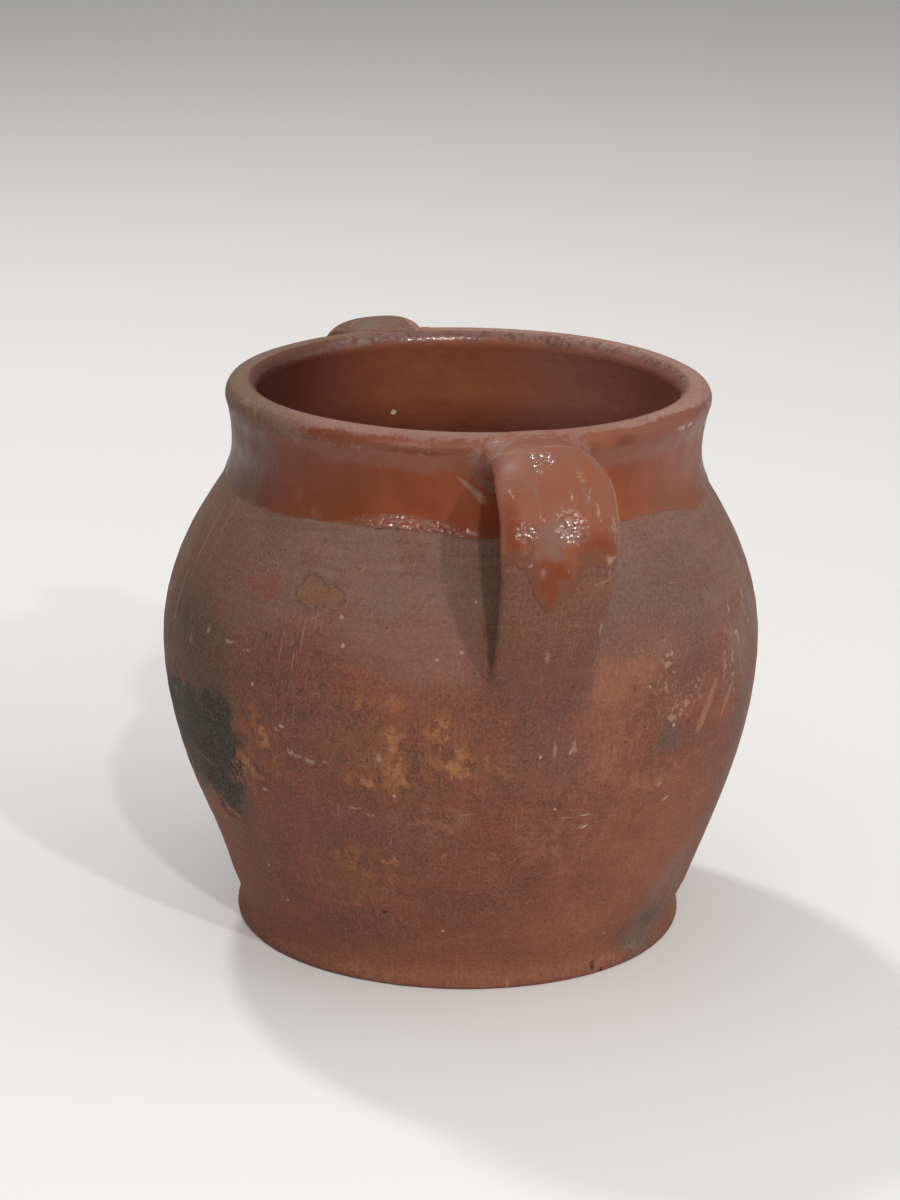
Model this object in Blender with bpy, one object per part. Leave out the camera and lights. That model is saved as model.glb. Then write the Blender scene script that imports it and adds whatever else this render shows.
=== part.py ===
"""A two-handled clay pot: a wheel-thrown body, two strap handles luted on with slip, and the glaze coats.

Metres, +Z up. The origin is the centre of the flat base, the body is turned about Z, and the handles lie
along Y, with the front handle at -Y.
"""

import math

import bmesh
import bpy
from mathutils import Matrix, Vector

# Thrown body, outside. Heights are above the base, drops are below the rim.
POT_HEIGHT = 0.2000
FOOT_RADIUS = 0.0806
FOOT_BAND = 0.0040
FOOT_EDGE_ROUND = 0.0016
WAIST_INSET = 0.0010
WAIST_HEIGHT = 0.0070
BELLY_RADIUS = 0.1071
BELLY_HEIGHT = 0.1060
SHOULDER_SPREAD = 0.0065
SHOULDER_DROP = 0.0420
NECK_RADIUS = 0.0833
NECK_DROP = 0.0200
LIP_OVERHANG = 0.0024
LIP_THICKNESS = 0.0106

# Radius gained for each unit of height where the wall leaves the foot and where it crosses the shoulder
LOWER_WALL_SLOPE = 0.37
SHOULDER_SLOPE = -0.65

# Thrown body, inside
WALL = 0.0070
FLOOR = 0.0080
FLOOR_CORNER_ROUND = 0.0110

# Strap handles
FRONT_WIDTH = 0.0390
REAR_WIDTH = 0.0340
ROOT_WIDTH = 0.0320
HANDLE_THICKNESS = 0.0112
HANDLE_ROOT_THICKNESS = 0.0150
FINGER_ROOM = 0.0330
OUTERMOST_DROP = 0.0300
UPPER_ROOT_DROP = 0.0095
UPPER_ROOT_BOW = 0.0240
CREST_BOW = 0.0200
OUTER_BOW = 0.0190
LOWER_ROOT_HEIGHT = 0.1150
LOWER_ROOT_BOW = 0.0190
LOWER_ROOT_DEG = 52.0
ROOT_DEPTH = 0.0060
FRONT_RISE_DEG = 16.0
REAR_RISE_DEG = 30.0
REAR_TURN_DEG = 5.5

# Slip that lutes the handles to the wall, squeezed out a little all round
SLIP_THICKNESS = 0.0009
SLIP_SQUEEZE = 0.0010

# Glaze coats
GLAZE_THICKNESS = 0.0005
NECK_GLAZE_TOP_DROP = 0.0034
NECK_GLAZE_DEPTH = 0.0370
HANDLE_GLAZE_START = 0.0050
HANDLE_GLAZE_DEPTH = 0.0400

# Space left between touching pieces
CLEARANCE = 0.0003

# Where the lip's round takes over from the neck, and where its crest and inner side end, as angles of the round
LIP_START_DEG = -38.0
LIP_CREST_DEG = 90.0
LIP_INNER_START_DEG = 110.0
LIP_INNER_END_DEG = 200.0

# Fineness of the turned and swept surfaces
TURN_STEPS = 40
LOWER_WALL_STEPS = 7
UPPER_WALL_STEPS = 5
NECK_STEPS = 3
ROUND_STEPS = 4
PATH_STEPS = 9
SECTION_STEPS = 14
SECTION_POWER = 0.9
FLARE_STEPS = 3
SMOOTH_DEG = 40.0

LIP_ROUND = LIP_THICKNESS / 2
LIP_RADIUS = NECK_RADIUS + LIP_OVERHANG
LIP_CENTRE = (LIP_RADIUS - LIP_ROUND, POT_HEIGHT - LIP_ROUND)
WAIST = (FOOT_RADIUS - WAIST_INSET, WAIST_HEIGHT)
BELLY = (BELLY_RADIUS, BELLY_HEIGHT)
SHOULDER = (NECK_RADIUS + SHOULDER_SPREAD, POT_HEIGHT - SHOULDER_DROP)
NECK = (NECK_RADIUS, POT_HEIGHT - NECK_DROP)
HANDLE_GAP = SLIP_THICKNESS + 2 * CLEARANCE
PATH_LAST = 2 * PATH_STEPS

CLAY = ((0.22, 0.085, 0.055), 0.85)
SLIP = ((0.20, 0.080, 0.055), 0.90)
OUTER_GLAZE = ((0.28, 0.060, 0.018), 0.20)
INNER_GLAZE = ((0.17, 0.035, 0.014), 0.15)


def clear_scene():
    for obj in list(bpy.data.objects):
        bpy.data.objects.remove(obj)


# Curves in the turning plane, as lists of (radius, height) points


def arc(centre, radius, start_deg, end_deg):
    points = []
    for i in range(ROUND_STEPS + 1):
        angle = math.radians(start_deg + (end_deg - start_deg) * i / ROUND_STEPS)
        points.append((centre[0] + radius * math.cos(angle), centre[1] + radius * math.sin(angle)))
    return points


def wall_curve(low, high, low_slope, high_slope, steps):
    """A smooth wall between two points, on which the radius changes at the given slopes at its ends."""
    rise = high[1] - low[1]
    points = []
    for i in range(steps + 1):
        s = i / steps
        radius = (
            (2 * s**3 - 3 * s**2 + 1) * low[0]
            + (s**3 - 2 * s**2 + s) * rise * low_slope
            + (3 * s**2 - 2 * s**3) * high[0]
            + (s**3 - s**2) * rise * high_slope
        )
        points.append((radius, low[1] + rise * s))
    return points


def offset_curve(points, distance):
    """The curve moved to its right-hand side, which is outwards for a wall that runs upwards."""
    moved = []
    for i, (radius, height) in enumerate(points):
        before = Vector(points[max(i - 1, 0)])
        after = Vector(points[min(i + 1, len(points) - 1)])
        along = (after - before).normalized()
        moved.append((radius + distance * along.y, height - distance * along.x))
    return moved


def radius_at(curve, height):
    for low, high in zip(curve, curve[1:]):
        if low[1] <= height <= high[1]:
            share = (height - low[1]) / (high[1] - low[1])
            return low[0] + share * (high[0] - low[0])
    return curve[-1][0]


def between_heights(curve, low, high):
    """The stretch of a rising curve between two heights, with a new point at each."""
    middle = [p for p in curve if low < p[1] < high]
    return [(radius_at(curve, low), low)] + middle + [(radius_at(curve, high), high)]


def foot_curve():
    edge = (FOOT_RADIUS - FOOT_EDGE_ROUND, FOOT_EDGE_ROUND)
    band_top = (FOOT_RADIUS, FOOT_BAND)
    return arc(edge, FOOT_EDGE_ROUND, -90, 0) + wall_curve(band_top, WAIST, 0, 0, NECK_STEPS)[:-1]


def side_curve():
    """The outer wall from the waist above the foot over the lip to its crest."""
    lip = arc(LIP_CENTRE, LIP_ROUND, LIP_START_DEG, LIP_CREST_DEG)
    lip_slope = -math.tan(math.radians(LIP_START_DEG))
    lower = wall_curve(WAIST, BELLY, LOWER_WALL_SLOPE, 0, LOWER_WALL_STEPS)
    upper = wall_curve(BELLY, SHOULDER, 0, SHOULDER_SLOPE, UPPER_WALL_STEPS)
    neck_base = wall_curve(SHOULDER, NECK, SHOULDER_SLOPE, 0, NECK_STEPS)
    flare = wall_curve(NECK, lip[0], 0, lip_slope, NECK_STEPS)
    return lower[:-1] + upper[:-1] + neck_base[:-1] + flare[:-1] + lip


def inside_curve():
    """The inside, from the lip's inner edge down to the centre of the floor."""
    corner_height = FLOOR + FLOOR_CORNER_ROUND
    wall_bottom = corner_height + FLOOR_CORNER_ROUND
    wall = [p for p in offset_curve(side_curve(), -WALL) if wall_bottom < p[1] < NECK[1]]
    corner_radius = radius_at(side_curve(), corner_height) - WALL - FLOOR_CORNER_ROUND
    corner = arc((corner_radius, corner_height), FLOOR_CORNER_ROUND, 0, -90)
    lip = arc(LIP_CENTRE, LIP_ROUND, LIP_INNER_START_DEG, LIP_INNER_END_DEG)
    return lip + wall[::-1] + corner + [(0.0, FLOOR)]


# Solids


def material(name, finish):
    colour, roughness = finish
    made = bpy.data.materials.new(name)
    made.use_nodes = True
    shader = made.node_tree.nodes["Principled BSDF"]
    shader.inputs["Base Color"].default_value = (*colour, 1.0)
    shader.inputs["Roughness"].default_value = roughness
    shader.inputs["Metallic"].default_value = 0.0
    return made


def add_object(name, shape, finish=None):
    """A named object with its own material. Without a finish it is a hidden helper."""
    bmesh.ops.recalc_face_normals(shape, faces=shape.faces)
    mesh = bpy.data.meshes.new(name)
    shape.to_mesh(mesh)
    shape.free()
    mesh.shade_smooth()
    mesh.set_sharp_from_angle(angle=math.radians(SMOOTH_DEG))
    obj = bpy.data.objects.new(name, mesh)
    bpy.context.scene.collection.objects.link(obj)
    if finish:
        mesh.materials.append(material(name, finish))
    else:
        obj.hide_render = True
        obj.display_type = "WIRE"
    return obj


def turned(name, outline, finish=None):
    """A solid turned about Z from an outline, which either closes on itself or ends on the axis."""
    shape = bmesh.new()
    verts = [shape.verts.new((radius, 0.0, height)) for radius, height in outline]
    pairs = list(zip(verts, verts[1:]))
    if outline[0][0] > 0.0:
        pairs.append((verts[-1], verts[0]))
    geometry = verts + [shape.edges.new(pair) for pair in pairs]
    bmesh.ops.spin(
        shape, geom=geometry, axis=(0, 0, 1), cent=(0, 0, 0), angle=math.tau, steps=TURN_STEPS, use_merge=True
    )
    bmesh.ops.remove_doubles(shape, verts=shape.verts, dist=CLEARANCE / TURN_STEPS)
    return add_object(name, shape, finish)


def boolean(obj, other, operation):
    cut = obj.modifiers.new(f"{operation.lower()}_{other.name}", "BOOLEAN")
    cut.operation = operation
    cut.object = other
    cut.solver = "EXACT"


def wall_plug(name, distance):
    """The pot's outside above the foot, moved out by a distance and filled, to trim what meets the wall."""
    outline = offset_curve(side_curve(), distance)
    return turned(name, [(0.0, 0.0), (outline[0][0], 0.0)] + outline + [(0.0, outline[-1][1])])


# Strap handles: the path is a list of (outwards, height) points from the lip over and down into the belly


def bezier(points, share):
    a, b, c, d = points
    rest = 1 - share
    return a * rest**3 + b * 3 * rest**2 * share + c * 3 * rest * share**2 + d * share**3


def handle_path(rise_deg):
    wall = side_curve()
    outermost_height = POT_HEIGHT - OUTERMOST_DROP
    outermost_out = radius_at(wall, outermost_height) + FINGER_ROOM + HANDLE_THICKNESS / 2
    upper = Vector((LIP_CENTRE[0], POT_HEIGHT - UPPER_ROOT_DROP))
    outermost = Vector((outermost_out, outermost_height))
    lower = Vector((radius_at(wall, LOWER_ROOT_HEIGHT) - ROOT_DEPTH, LOWER_ROOT_HEIGHT))
    rise, dive = math.radians(rise_deg), math.radians(LOWER_ROOT_DEG)
    leave = upper + UPPER_ROOT_BOW * Vector((math.cos(rise), math.sin(rise)))
    arrive = lower + LOWER_ROOT_BOW * Vector((math.cos(dive), math.sin(dive)))
    over = (upper, leave, outermost + Vector((0, CREST_BOW)), outermost)
    down = (outermost, outermost - Vector((0, OUTER_BOW)), arrive, lower)
    points = [bezier(over, i / PATH_STEPS) for i in range(PATH_STEPS)]
    return points + [bezier(down, i / PATH_STEPS) for i in range(PATH_STEPS + 1)]


def half_section(top_width, i):
    """Half the strap's width and thickness at path point i: it narrows downwards and thickens at its roots."""
    taper = max(0.0, i / PATH_STEPS - 1)
    width = top_width + (ROOT_WIDTH - top_width) * taper
    flare = max(0.0, 1 - min(i, PATH_LAST - i) / FLARE_STEPS)
    thickness = HANDLE_THICKNESS + (HANDLE_ROOT_THICKNESS - HANDLE_THICKNESS) * flare
    return width / 2, thickness / 2


def rounded(value):
    """Squares a round section's sine or cosine a little, as a pulled strap is flatter than an ellipse."""
    return math.copysign(abs(value) ** SECTION_POWER, value)


def ring_points(handle, i, grown):
    """The strap's outline square to path point i, grown all round. The strap lies along -Y."""
    path = handle["path"]
    along = (path[min(i + 1, PATH_LAST)] - path[max(i - 1, 0)]).normalized()
    half_width, half_thickness = half_section(handle["width"], i)
    points = []
    for k in range(SECTION_STEPS):
        angle = math.tau * k / SECTION_STEPS
        across = rounded(math.cos(angle)) * (half_width + grown)
        lift = rounded(math.sin(angle)) * (half_thickness + grown)
        points.append(Vector((across, along.y * lift - path[i].x, path[i].y + along.x * lift)))
    return points


def ring_at(handle, place, grown):
    """The strap's outline at a place between two path points, on the flat faces that join theirs."""
    i = min(int(place), PATH_LAST - 1)
    pairs = zip(ring_points(handle, i, grown), ring_points(handle, i + 1, grown))
    return [low.lerp(high, place - i) for low, high in pairs]


def places_between(first, last):
    return [first] + [i for i in range(PATH_LAST + 1) if first < i < last] + [last]


def add_tube(shape, handle, places, grown):
    rings = [[shape.verts.new(point) for point in ring_at(handle, place, grown)] for place in places]
    for low, high in zip(rings, rings[1:]):
        join_rings(shape, low, high)
    return rings[0], rings[-1]


def join_rings(shape, low, high):
    for k in range(SECTION_STEPS):
        after = (k + 1) % SECTION_STEPS
        shape.faces.new((low[k], low[after], high[after], high[k]))


def turn_about_axis(shape, turn_deg):
    bmesh.ops.rotate(shape, verts=shape.verts, matrix=Matrix.Rotation(math.radians(turn_deg), 3, "Z"))


def strap(name, handle, places, grown, finish=None):
    """A solid length of a handle's strap."""
    shape = bmesh.new()
    for end in add_tube(shape, handle, places, grown):
        shape.faces.new(end)
    turn_about_axis(shape, handle["turn_deg"])
    return add_object(name, shape, finish)


def strap_coat(name, handle, places, finish):
    """A thin coat round a length of a handle's strap, open at both ends."""
    shape = bmesh.new()
    inner = add_tube(shape, handle, places, CLEARANCE)
    outer = add_tube(shape, handle, places, CLEARANCE + GLAZE_THICKNESS)
    for low, high in zip(inner, outer):
        join_rings(shape, low, high)
    turn_about_axis(shape, handle["turn_deg"])
    return add_object(name, shape, finish)


def place_outwards(path, outwards):
    """Where the strap, leaving the lip, first reaches a distance from the axis."""
    i = next(k for k in range(PATH_LAST) if path[k + 1].x > outwards)
    return i + (outwards - path[i].x) / (path[i + 1].x - path[i].x)


def place_down(path, height):
    """Where the strap, coming down, passes a height for the last time."""
    i = next(k for k in reversed(range(PATH_LAST)) if path[k].y > height)
    return i + (path[i].y - height) / (path[i].y - path[i + 1].y)


# The pot


def build_body():
    turned("thrown_body", [(0.0, 0.0)] + foot_curve() + side_curve() + inside_curve(), CLAY)


def build_inside_glaze():
    under = offset_curve(inside_curve(), CLEARANCE)
    over = offset_curve(inside_curve(), CLEARANCE + GLAZE_THICKNESS)
    turned("inside_glaze", under[::-1] + over, INNER_GLAZE)


def build_neck_glaze():
    band = between_heights(side_curve(), POT_HEIGHT - NECK_GLAZE_DEPTH, POT_HEIGHT - NECK_GLAZE_TOP_DROP)
    under = offset_curve(band, CLEARANCE)
    over = offset_curve(band, CLEARANCE + GLAZE_THICKNESS)
    return turned("neck_glaze", over + under[::-1], OUTER_GLAZE)


def build_handle(side, handle, plugs, neck_glaze):
    """One strap, the slip under its two roots, its glaze, and the room its upper root takes from the neck's."""
    path = handle["path"]
    upper, lower = (0, PATH_STEPS), (PATH_STEPS, PATH_LAST)
    whole = strap(f"{side}_handle", handle, places_between(0, PATH_LAST), 0.0, CLAY)
    boolean(whole, plugs["handle"], "DIFFERENCE")
    for root, stretch in (("upper", upper), ("lower", lower)):
        slip = strap(f"{side}_{root}_slip", handle, places_between(*stretch), SLIP_SQUEEZE, SLIP)
        boolean(slip, plugs["slip_top"], "INTERSECT")
        boolean(slip, plugs["slip_bottom"], "DIFFERENCE")
    room = strap(f"{side}_root_room", handle, places_between(*upper), SLIP_SQUEEZE + CLEARANCE)
    boolean(neck_glaze, room, "DIFFERENCE")
    start = place_outwards(path, LIP_RADIUS + HANDLE_GAP + HANDLE_GLAZE_START)
    end = place_down(path, POT_HEIGHT - HANDLE_GLAZE_DEPTH)
    strap_coat(f"{side}_handle_glaze", handle, places_between(start, end), OUTER_GLAZE)


def main():
    clear_scene()
    build_body()
    build_inside_glaze()
    neck_glaze = build_neck_glaze()
    plugs = {
        "handle": wall_plug("handle_plug", HANDLE_GAP),
        "slip_top": wall_plug("slip_top_plug", CLEARANCE + SLIP_THICKNESS),
        "slip_bottom": wall_plug("slip_bottom_plug", CLEARANCE),
    }
    front = {"path": handle_path(FRONT_RISE_DEG), "width": FRONT_WIDTH, "turn_deg": 0.0}
    rear = {"path": handle_path(REAR_RISE_DEG), "width": REAR_WIDTH, "turn_deg": 180.0 + REAR_TURN_DEG}
    build_handle("front", front, plugs, neck_glaze)
    build_handle("rear", rear, plugs, neck_glaze)


main()
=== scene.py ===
import math

import bmesh
import bpy
from mathutils import Matrix, Vector, noise


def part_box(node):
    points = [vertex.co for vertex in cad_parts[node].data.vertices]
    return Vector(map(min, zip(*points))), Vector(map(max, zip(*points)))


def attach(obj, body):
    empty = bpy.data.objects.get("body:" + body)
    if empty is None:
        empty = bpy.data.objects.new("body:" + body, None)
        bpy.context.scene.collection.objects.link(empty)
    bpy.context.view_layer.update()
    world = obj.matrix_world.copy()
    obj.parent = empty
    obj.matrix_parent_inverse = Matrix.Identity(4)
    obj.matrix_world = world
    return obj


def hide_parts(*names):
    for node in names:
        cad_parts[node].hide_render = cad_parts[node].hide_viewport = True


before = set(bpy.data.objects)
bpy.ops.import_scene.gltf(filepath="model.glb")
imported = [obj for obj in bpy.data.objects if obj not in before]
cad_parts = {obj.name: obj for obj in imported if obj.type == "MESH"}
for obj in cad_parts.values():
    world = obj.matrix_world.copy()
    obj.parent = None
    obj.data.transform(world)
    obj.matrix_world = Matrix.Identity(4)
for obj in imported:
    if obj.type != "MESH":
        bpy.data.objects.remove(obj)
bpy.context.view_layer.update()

scene = bpy.context.scene
scene.view_settings.view_transform = "Standard"
noise.seed_set(11)    # so that every run throws the same pot
print("frame loaded:", len(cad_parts), "nodes")

# The camera stands at the photograph's viewpoint
view = {
    "turn": math.radians(14.5),    # left of the front handle's plane
    "distance": 1.0962,
    "height": 0.4588,
    "pitch": math.radians(17.31),
    "yaw": math.radians(-0.25),
    "roll": math.radians(0.85),
    "lens": 95.3,
    "sensor": 36.0,
}


def addCamera():
    data = bpy.data.cameras.new("photoCamera")
    data.sensor_fit = "VERTICAL"
    data.sensor_height = view["sensor"]
    data.lens = view["lens"]
    camera = bpy.data.objects.new("photoCamera", data)
    scene.collection.objects.link(camera)
    turn = Matrix.Rotation(-view["yaw"] - view["turn"], 4, "Z")
    tilt = Matrix.Rotation(math.pi / 2 - view["pitch"], 4, "X")
    lean = Matrix.Rotation(view["roll"], 4, "Z")
    place = Vector((-math.sin(view["turn"]), -math.cos(view["turn"]), 0)) * view["distance"]
    place.z = view["height"]
    camera.matrix_world = Matrix.Translation(place) @ turn @ tilt @ lean
    scene.camera = camera


addCamera()
print("camera placed")

# The pot's sizes, in metres, as the solids have them
pot = {
    "height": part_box("thrown_body")[1].z,
    "belly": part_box("thrown_body")[1].x, "bellyHeight": 0.1060,
    "foot": 0.0806, "footBand": 0.0022, "footRound": 0.0016,
    "waist": 0.0799, "waistHeight": 0.0062, "waistBlend": 0.0200,
    "shoulder": 0.0898, "shoulderHeight": 0.1580,
    "neck": 0.0832, "neckHeight": 0.1770, "lipSweep": 2.1,
    "lip": 0.0857, "lipRound": 0.0053, "lipStart": math.radians(-22),
    "wall": 0.0070, "floor": 0.0080, "corner": 0.0110,
    "lowerSlope": 0.37, "shoulderSlope": -0.65,
}
lipCentre = (pot["lip"] - pot["lipRound"], pot["height"] - pot["lipRound"])


def clamp(value):
    return min(1.0, max(0.0, value))


def smoothRadius(low, high, lowSlope, highSlope, z):
    rise = high[1] - low[1]
    s = (z - low[1]) / rise
    return ((2 * s**3 - 3 * s**2 + 1) * low[0] + (s**3 - 2 * s**2 + s) * rise * lowSlope
            + (3 * s**2 - 2 * s**3) * high[0] + (s**3 - s**2) * rise * highSlope)


def roundPoint(centre, radius, angle):
    return (centre[0] + radius * math.cos(angle), centre[1] + radius * math.sin(angle))


lipFoot = roundPoint(lipCentre, pot["lipRound"], pot["lipStart"])    # where the lip's roll begins


def wallRadius(z):
    waist, belly = (pot["waist"], pot["waistHeight"]), (pot["belly"], pot["bellyHeight"])
    shoulder, neck = (pot["shoulder"], pot["shoulderHeight"]), (pot["neck"], pot["neckHeight"])
    if z < belly[1]:
        return smoothRadius(waist, belly, pot["lowerSlope"], 0, z)
    if z < shoulder[1]:
        return smoothRadius(belly, shoulder, 0, pot["shoulderSlope"], z)
    if z < neck[1]:
        return smoothRadius(shoulder, neck, pot["shoulderSlope"], 0, z)
    if z < lipFoot[1]:
        share = (z - neck[1]) / (lipFoot[1] - neck[1])
        return neck[0] + (lipFoot[0] - neck[0]) * share**pot["lipSweep"]
    return lipCentre[0] + math.sqrt(max(0.0, pot["lipRound"]**2 - (z - lipCentre[1])**2))


def wallNormal(z):    # (outwards, up) of the outer wall at a height
    step = 0.0004
    if z > lipFoot[1]:
        spot = Vector((wallRadius(z) - lipCentre[0], z - lipCentre[1]))
        return spot.normalized()
    slope = (wallRadius(z + step) - wallRadius(z - step)) / (2 * step)
    return Vector((1, -slope)).normalized()


# Thrown and fired by hand, so the whole pot leans and drifts a little out of true
handWork = {
    "lean": 0.0007, "drift": 0.0005, "driftSize": 0.055, "driftFrom": Vector((3.1, 7.7, 1.3)),
    "driftUp": 0.35, "seat": 0.01,    # the foot still stands level
}
# the foot's left side has spread and the wall above it has sunk in
footSpread = {"way": Vector((-0.996, -0.087)), "out": 0.0019, "outHeight": 0.012,
              "sunk": 0.0012, "sunkAt": 0.034, "sunkHeight": 0.018}


def handMade(p):
    lean = handWork["lean"] * (1 - 2 * math.sin(math.pi * clamp(p.z / pot["height"])))
    drift = noise.noise_vector(p / handWork["driftSize"] + handWork["driftFrom"]) * handWork["drift"]
    drift.z *= handWork["driftUp"] * clamp(p.z / handWork["seat"])
    spread = footSpread["out"] * math.exp(-(p.z / footSpread["outHeight"])**2)
    spread -= footSpread["sunk"] * math.exp(-((p.z - footSpread["sunkAt"]) / footSpread["sunkHeight"])**2)
    spread *= max(0.0, p.xy.dot(footSpread["way"]) / pot["foot"])**2
    drift += footSpread["way"].to_3d() * spread
    return p + drift + Vector((math.cos(view["turn"]), -math.sin(view["turn"]), 0)) * lean


# The fingers leave faint rings up the wall
rings = {
    "outside": 0.00010, "inside": 0.00025, "radiusFrom": 0.05,    # none on the floor and under the foot
    "low": 0.012, "high": 0.172, "fade": 0.012, "pitch": 0.0085, "sway": 0.12, "swayTurn": 1.0,
    "wander": 1.6, "wanderSize": 0.03, "swell": (0.4, 0.6), "swellSize": 0.04,
}


def throwingRings(angle, z, depth):
    fade = clamp((z - rings["low"]) / rings["fade"]) * clamp((rings["high"] - z) / rings["fade"])
    phase = z / rings["pitch"] + rings["sway"] * math.sin(angle + rings["swayTurn"])
    phase += rings["wander"] * noise.noise(Vector((0, 0, z / rings["wanderSize"])))
    even, uneven = rings["swell"]
    swell = even + uneven * noise.noise(Vector((math.cos(angle), math.sin(angle), z / rings["swellSize"])))
    return depth * fade * swell * math.sin(math.tau * phase)


# Lines turned under the lip: (degrees, half width, height, half height, how far out) in millimetres
lipLines = [(-57, 15, 193.6, 0.9, -0.45), (-27, 11, 196.0, 0.6, 0.48), (-26, 13, 193.8, 0.8, -0.30),
            (41, 12, 192.6, 0.7, 0.30)]


def lipLine(angle, z):
    far = 0.0
    for degrees, halfWidth, height, halfHeight, out in lipLines:
        turn = (math.degrees(angle) - degrees) / halfWidth
        rise = (1000 * z - height) / halfHeight
        far += out / 1000 * math.exp(-turn**4 - rise**2)
    return far


def roundAt(p):    # turn from the front handle, in radians
    return math.atan2(p.x, -p.y)


def wallPlace(angle, z, lift):    # a point lifted off the outer wall
    out = wallNormal(z)
    r = wallRadius(z) + throwingRings(angle, z, rings["outside"]) + lipLine(angle, z) + lift * out.x
    return Vector((math.sin(angle) * r, -math.cos(angle) * r, z + lift * out.y))


def finishPiece(name, bm, material, nodes):
    bmesh.ops.recalc_face_normals(bm, faces=bm.faces)
    mesh = bpy.data.meshes.new(name)
    bm.to_mesh(mesh)
    bm.free()
    mesh.shade_smooth()
    mesh.materials.append(material)
    piece = bpy.data.objects.new(name, mesh)
    scene.collection.objects.link(piece)
    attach(piece, "root")
    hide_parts(*nodes)
    print("made", name, len(mesh.polygons), "faces")
    return piece


def loft(bm, rows, around, place):
    # rings of points, each pulled out from the last; place(row, spot) gives a point's place, cover and wear
    # (on the straps' edges, wear with a painted highlight)
    spot = bm.verts.layers.int.new("spot")
    cover = bm.verts.layers.float.new("cover")
    worn = bm.verts.layers.float.new("worn")
    ring = bmesh.ops.create_circle(bm, segments=around, radius=1.0)["verts"]
    for k, v in enumerate(ring):
        v[spot] = k
        v.co, v[cover], v[worn] = place(0, k)
    edges = list(bm.edges)
    for row in range(1, rows):
        pulled = bmesh.ops.extrude_edge_only(bm, edges=edges)["geom"]
        fresh = [g for g in pulled if isinstance(g, bmesh.types.BMVert)]
        marked = set(fresh)
        edges = [g for g in pulled if isinstance(g, bmesh.types.BMEdge) and marked.issuperset(g.verts)]
        for v in fresh:
            v.co, v[cover], v[worn] = place(row, v[spot])


# Node helpers
flatRadius = 0.1    # the wall is rolled flat at this radius, in metres


def fill(tree, socket, value):    # a plain value is set on the socket, any other is linked to it
    if isinstance(value, bpy.types.NodeSocket):
        tree.links.new(value, socket)
    else:
        socket.default_value = value


def addNode(tree, kind, values=None, **options):
    made = tree.nodes.new(kind)
    for name, value in options.items():
        setattr(made, name, value)
    for key, value in (values or {}).items():
        fill(tree, made.inputs[key], value)
    return made


def calc(tree, operation, a, b):
    return addNode(tree, "ShaderNodeMath", {0: a, 1: b}, operation=operation).outputs[0]


def times(tree, a, b):
    return calc(tree, "MULTIPLY", a, b)


def plus(tree, a, b):
    return calc(tree, "ADD", a, b)


def minus(tree, a, b):
    return calc(tree, "SUBTRACT", a, b)


def larger(tree, a, b):
    return calc(tree, "MAXIMUM", a, b)


def calcVector(tree, operation, a, b=(0, 0, 0)):    # a length or distance comes as a number
    made = addNode(tree, "ShaderNodeVectorMath", {0: a, 1: b}, operation=operation)
    return made.outputs[1 if operation in ("LENGTH", "DISTANCE") else 0]


def ramp(tree, value, low, high, outLow=0.0, outHigh=1.0):
    values = {"Value": value, "From Min": low, "From Max": high, "To Min": outLow, "To Max": outHigh}
    return addNode(tree, "ShaderNodeMapRange", values, interpolation_type="SMOOTHSTEP").outputs[0]


def paint(tree, amount, under, over):
    made = addNode(tree, "ShaderNodeMix", {0: amount}, data_type="RGBA")
    for key, value in ((6, under), (7, over)):
        linked = isinstance(value, bpy.types.NodeSocket)
        fill(tree, made.inputs[key], value if linked else (*value, 1.0))
    return made.outputs[2]


def paintLayers(tree, fields, colour, look, layers, mask=None):
    # each layer is (the field it follows, where it starts, where it is full, how strong it gets, tint)
    for field, low, high, strength, tint in layers:
        amount = ramp(tree, fields[field], low, high, 0.0, strength)
        if mask:
            amount = times(tree, amount, mask)
        colour = paint(tree, amount, colour, look[tint])
    return colour


def grain(tree, coords, scale, detail=4.0, rough=0.55, stretch=None):
    if stretch:
        coords = addNode(tree, "ShaderNodeMapping", {"Vector": coords, "Scale": stretch}).outputs[0]
    values = {"Vector": coords, "Scale": scale, "Detail": detail, "Roughness": rough}
    return addNode(tree, "ShaderNodeTexNoise", values).outputs["Fac"]


def surfaceFields(tree, grains):
    # plain object coordinates, the wall rolled flat as (arc length, height), and the fields to paint by
    coords = addNode(tree, "ShaderNodeTexCoord").outputs["Object"]
    parts = addNode(tree, "ShaderNodeSeparateXYZ", {0: coords})
    angle = calc(tree, "ARCTAN2", parts.outputs[0], times(tree, parts.outputs[1], -1.0))
    arc = times(tree, angle, flatRadius)
    flat = addNode(tree, "ShaderNodeCombineXYZ", {0: arc, 1: parts.outputs[2]}).outputs[0]
    level = calcVector(tree, "MULTIPLY", coords, (1, 1, 0))
    radius = calcVector(tree, "LENGTH", level)
    fields = {"coords": coords, "flat": flat, "side": parts.outputs[0], "height": parts.outputs[2],
              "angle": angle, "radius": radius}
    for name, values in grains.items():
        fields[name] = grain(tree, coords, *values)
    return fields


def ragged(tree, coords, flat, scale, amount, detail=5.0):    # flat coordinates that fray an outline
    values = {"Vector": coords, "Scale": scale, "Detail": detail, "Roughness": 0.65}
    jitter = addNode(tree, "ShaderNodeTexNoise", values).outputs["Color"]
    centred = calcVector(tree, "SUBTRACT", jitter, (0.5, 0.5, 0.5))
    sized = calcVector(tree, "MULTIPLY", centred, (amount,) * 3)
    return calcVector(tree, "ADD", flat, sized)


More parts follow.
